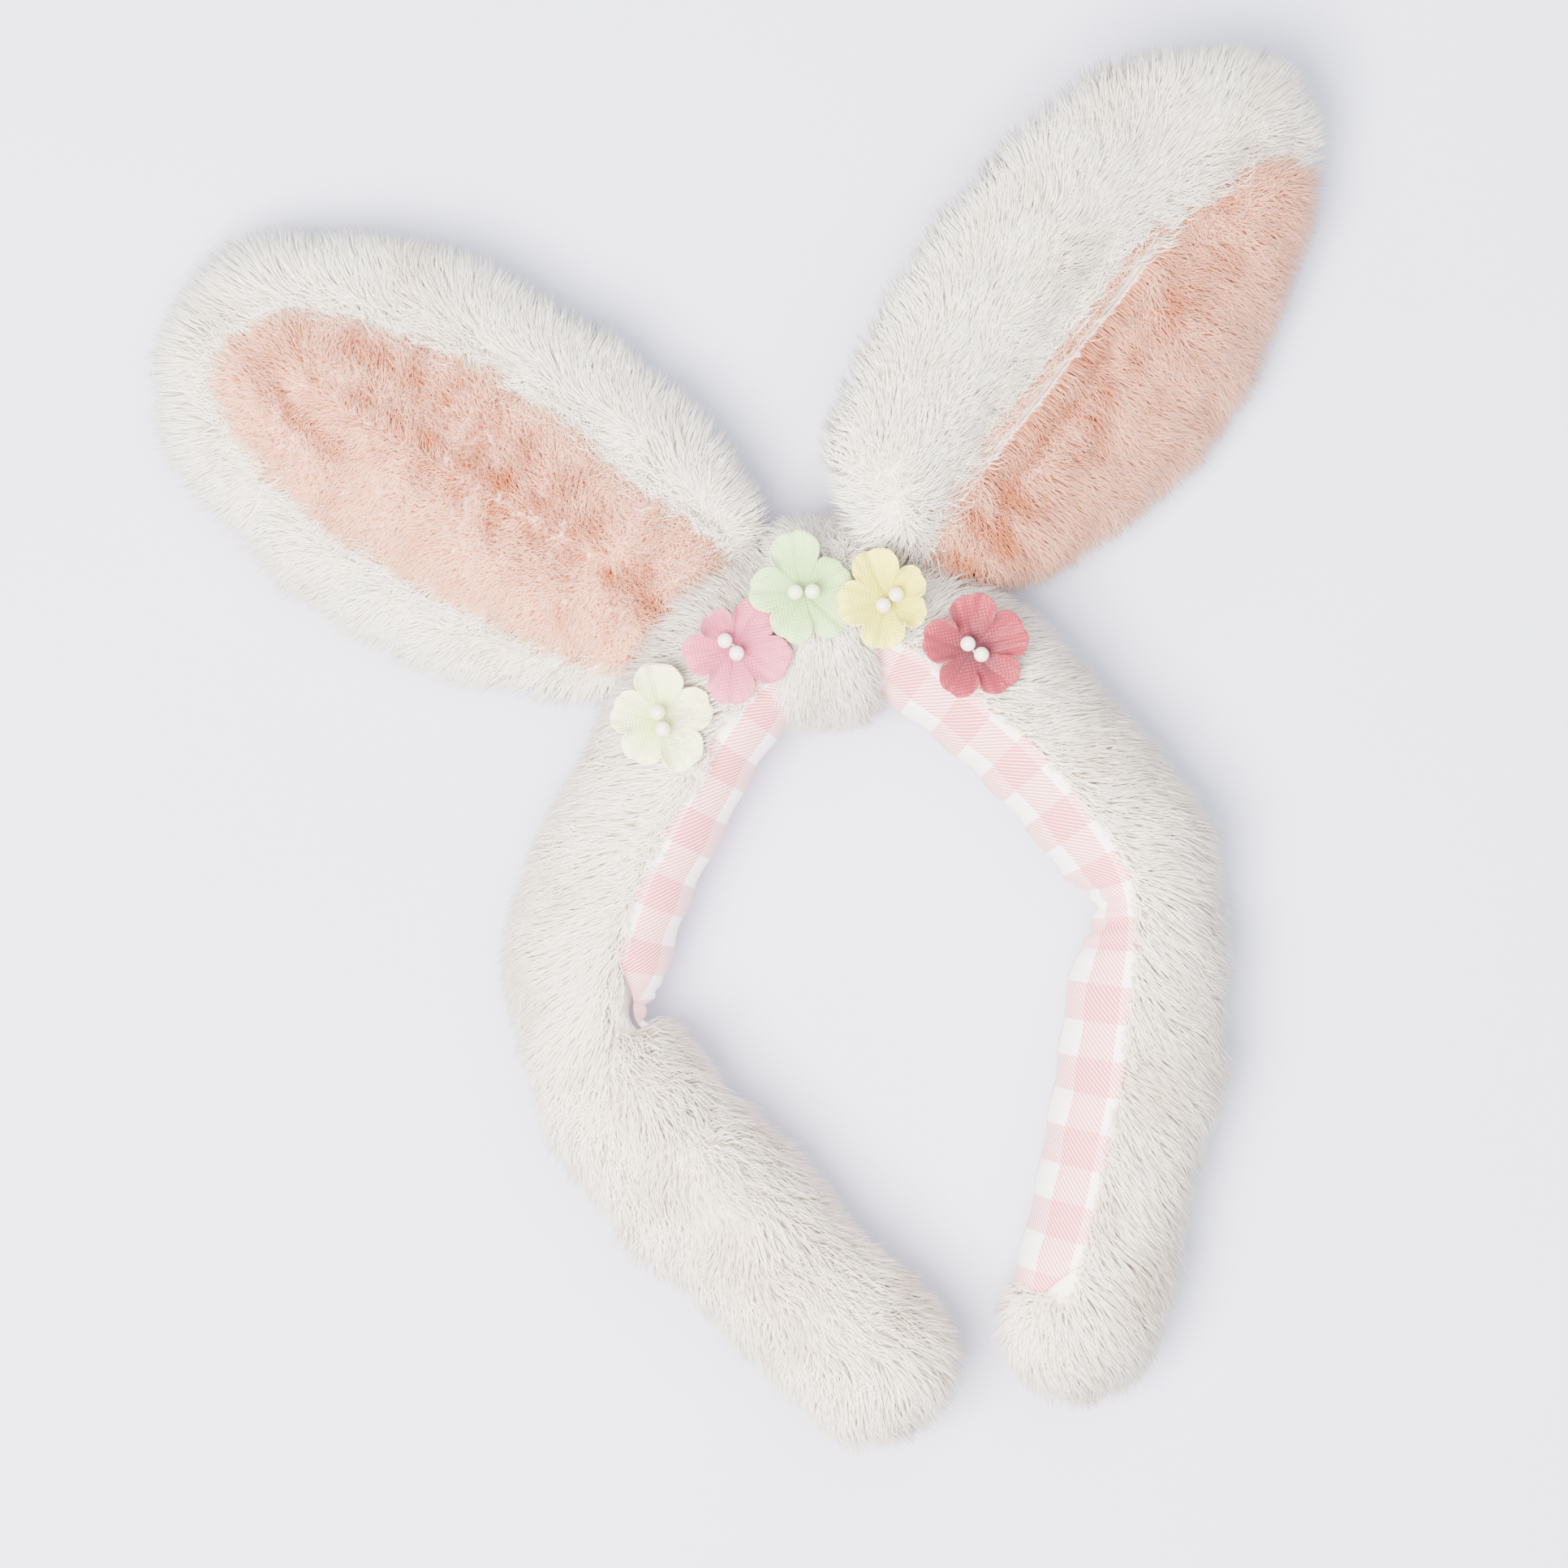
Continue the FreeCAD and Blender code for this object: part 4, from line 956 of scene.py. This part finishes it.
def makeWire(side):
    # the steel loop in the ear, in short lengths
    mesh = bmesh.new()
    mesh.from_mesh(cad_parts[side + "_ear_wire"].data)
    bmesh.ops.remove_doubles(mesh, verts=mesh.verts, dist=1e-6)
    for _ in range(wireShape["passes"]):
        long = [edge for edge in mesh.edges if edge.calc_length() > wireShape["step"] * mm]
        if long:
            bmesh.ops.subdivide_edges(mesh, edges=long, cuts=1)
    data = bpy.data.meshes.new(side + "EarWire")
    mesh.to_mesh(data)
    mesh.free()
    data.shade_smooth()
    data.materials.clear()
    data.materials.append(wireSteel)
    wire = bpy.data.objects.new(side + "EarWire", data)
    bpy.context.scene.collection.objects.link(wire)
    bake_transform(wire)
    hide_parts(side + "_ear_wire")


wireShape = {"step": 5.0, "passes": 4}
for side in ("left", "right"):
    skin, plan, distance, front, level, points, outward, ex, ez = makeEar(side)
    panel = makePanel(side, skin, plan, distance, front, level, points, outward, ex, ez)
    rimDensity = np.where(front > 0, np.clip((5.0 - distance) / 2.5, 0, 1),
                          np.clip((level - 0.9) * 10, 0, 1))
    backDensity = np.where(front > 0, 0, 1.0)
    grown = [
        growPile(side + "EarRimPile", skin, rimDensity, "ear", pile["brushedWhitePile"],
                 strandCounts["rim"], rise=0.5, lean=0.85, seed=11),
        growPile(side + "EarBackPile", skin, backDensity, "ear", pile["brushedWhitePile"],
                 strandCounts["back"], rise=0.5, lean=0.8, seed=12),
        growPile(side + "EarPinkPile", panel, np.ones(len(panel.data.vertices)), "pink",
                 pile["brushedPinkPile"], strandCounts["pink"],
                 rise=0.8, lean=0.6, clump=36.0, clumpSize=230.0, stray=0.26, seed=13),
    ]
    thick = panel.modifiers.new("backing", "SOLIDIFY")
    thick.thickness, thick.offset = 0.0008, -1
    facesOut(applied(panel))
    for piece in grown + [skin, panel]:
        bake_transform(piece)
    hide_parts(side + "_ear_fur_back", side + "_ear_tip_fur_back", side + "_ear_wadding",
                side + "_ear_tip_wadding")
    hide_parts(side + "_ear_pink_panel", side + "_ear_tip_pink_panel")
    makeWire(side)
    print(side, "ear made")


def makeFlower(name, look):
    # five cupped lobes with pressed folds between them
    rings, around = 16, 150
    tiltX, tiltY = (math.radians(v) for v in look["tilt"])
    vertices, uv = [], []
    seed = sorted(flowerLooks).index(name) + 70
    for i in range(rings):
        rho = 0.1 + 0.9 * i / (rings - 1)
        for j in range(around):
            turn = 360.0 * j / around
            lobe = round((turn - look["spin"]) / 72) % 5
            off = (turn - look["spin"] + 36) % 72 - 36
            edge = 0.5 + 0.5 * max(0.0, math.cos(math.radians(off * 2.5))) ** 0.36
            notch = 1 - 0.05 * math.exp(-(off / 6) ** 2)
            sway = 0.97 * look["sizes"][lobe] + 0.03 * math.sin(math.radians(turn * 4) + seed)
            radius = look["reach"] * rho * (1 - rho + rho * edge * notch * sway)
            # every lobe is a shallow cup, with a slightly rolled and waved edge
            side = off / 36
            lift = look["lifts"][lobe]
            height = (0.4 + lift * rho**1.8 + 1.1 * rho**2 * side**2
                      - 0.9 * max(0.0, rho - 0.82) * 5.5 * (1 - side**2))
            height += (0.6 * rho**2 * math.sin(math.radians(turn * 9 + seed * 50))
                       + 0.3 * rho**3 * math.sin(math.radians(turn * 23 + seed))
                       - 0.5 * math.exp(-(side * 5) ** 2) * rho * (1 - rho) * 4)
            if lift > 5:
                radius *= 1 - 0.22 * rho**2
            height += 0.5 * (lobe % 2) * rho
            vertices.append((radius * math.cos(math.radians(turn)), radius * math.sin(math.radians(turn)),
                             height))
            uv.append((rho, turn / 360))
    vertices.append((0, 0, 0.35))
    uv.append((0.0, 0.5))
    vertices = np.array(vertices)
    x, y, z = vertices[:, 0].copy(), vertices[:, 1].copy(), vertices[:, 2].copy()
    y, z = y * math.cos(tiltX) - z * math.sin(tiltX), y * math.sin(tiltX) + z * math.cos(tiltX)
    x, z = x * math.cos(tiltY) + z * math.sin(tiltY), -x * math.sin(tiltY) + z * math.cos(tiltY)
    vertices = np.column_stack([x, y, z]) + np.array(look["at"]) - np.array([0, 0, look["drop"]])
    faces = quadFaces(rings, around)
    faces = ([f[::-1] for f in faces]
             + [((j + 1) % around, j, len(vertices) - 1)[::-1] for j in range(around)])
    material = petalMaterial(name + "PressedVoile", look["inner"], look["outer"])
    piece = newObject(name + "Petals", vertices, faces, material)
    if sum(p.normal.z * p.area for p in piece.data.polygons) < 0:
        piece.data.flip_normals()
    layer = piece.data.uv_layers.new(name="cloth")
    for loop in piece.data.loops:
        layer.data[loop.index].uv = uv[loop.vertex_index]
    cloth = piece.modifiers.new("cloth", "SOLIDIFY")
    cloth.thickness, cloth.offset = 0.00035, -1
    applied(piece)
    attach(piece, "crown")
    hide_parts(name + "_flower_petals")


for name, look in flowerLooks.items():
    makeFlower(name, look)

glueLook = {"top": 1.2, "foot": 2.6, "deep": 6.5, "drop": 2.0}


def makeGlue():
    # one small mound of hot-melt under each flower, sunk in the pile
    vertices, faces = [], []
    for k, look in enumerate(flowerLooks.values()):
        start = len(vertices)
        rings = ((0.2, 0.0), (glueLook["top"], 0.0), (1.6, 0.4), (glueLook["foot"], 1.0))
        for radius, down in rings:
            for j in range(20):
                turn = 2 * math.pi * j / 20
                wobble = 1 + 0.08 * math.sin(3 * turn + k) + 0.05 * math.sin(5 * turn + 2 * k)
                away = radius * wobble
                vertices.append((look["at"][0] + away * math.cos(turn), look["at"][1]
                                 + away * math.sin(turn),
                                 look["at"][2] - glueLook["drop"] - down * glueLook["deep"]))
        faces += [tuple(start + v for v in f) for f in quadFaces(len(rings), 20)]
        faces += [tuple(start + j for j in range(20)), tuple(start + 60 + j for j in range(20))[::-1]]
    piece = newObject("flowerGlue", vertices, faces, hotGlue)
    mesh = bmesh.new()
    mesh.from_mesh(piece.data)
    bmesh.ops.recalc_face_normals(mesh, faces=mesh.faces)
    mesh.to_mesh(piece.data)
    mesh.free()
    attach(piece, "crown")
    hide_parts("flower_glue_dots")


makeGlue()

# the pieces that keep their own shape
keptLooks = {"spring_strip": stripPlastic, "left_wire_binding": threadCotton,
             "right_wire_binding": threadCotton}
for name in flowerLooks:
    keptLooks[name + "_flower_pearls"] = pearlCoat
    keptLooks[name + "_flower_stems"] = stemThread
for name, material in keptLooks.items():
    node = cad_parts[name]
    if len(node.material_slots) == 0:
        node.data.materials.append(material)
    for used in node.material_slots:
        used.material = material
print("flowers made")


studio = {
    "target": (0, -0.04, 0), "sky": "#F6F6FA", "skyStrength": 1.35,
    "lights": {
        "keyLight": {"place": (-0.5, -0.3, 1.35), "size": 0.8, "power": 118.0, "colour": "#FFF9F0"},
        "fillLight": {"place": (0.3, 0.25, 1.6), "size": 1.4, "power": 34.0, "colour": "#FCFCFF"},
    },
}


def areaLight(name, place, target, size, power, colour):
    data = bpy.data.lights.new(name, "AREA")
    data.energy, data.size, data.color = power, size, linearColour(colour)[:3]
    lamp = bpy.data.objects.new(name, data)
    lamp.location = place
    lamp.rotation_euler = (Vector(target) - Vector(place)).to_track_quat("-Z", "Y").to_euler()
    bpy.context.scene.collection.objects.link(lamp)


corners = [(x, y, 0) for x, y in ((-3000, -3000), (3000, -3000), (3000, 3000), (-3000, 3000))]
table = newObject("table", corners, [(0, 1, 2, 3)],
                  plainMaterial("paleLavenderBoard", "#C5C8DC", "#CDD0E2", 6.0,
                                {"Roughness": 0.8}, 0.00001))
for name, light in studio["lights"].items():
    areaLight(name, light["place"], studio["target"], light["size"], light["power"], light["colour"])
world = bpy.data.worlds.new("studio")
world.use_nodes = True
world.node_tree.nodes["Background"].inputs[0].default_value = linearColour(studio["sky"])
world.node_tree.nodes["Background"].inputs[1].default_value = studio["skyStrength"]
bpy.context.scene.world = world

cameraView = {"lookAt": (-17.0, -37.5), "height": 1300.0, "covers": 386.4, "tilt": 12.0}
cameraData = bpy.data.cameras.new("camera")
cameraData.sensor_width = 36
cameraData.lens = 36 * (cameraView["height"] - 20) / cameraView["covers"]
camera = bpy.data.objects.new("camera", cameraData)
camera.location = (cameraView["lookAt"][0] * mm, cameraView["lookAt"][1] * mm, cameraView["height"] * mm)
camera.rotation_euler = (0, 0, -math.radians(cameraView["tilt"]))
bpy.context.scene.collection.objects.link(camera)
bpy.context.scene.camera = camera

for strand in strands.values():
    bpy.data.objects.remove(strand)
print("scene made")
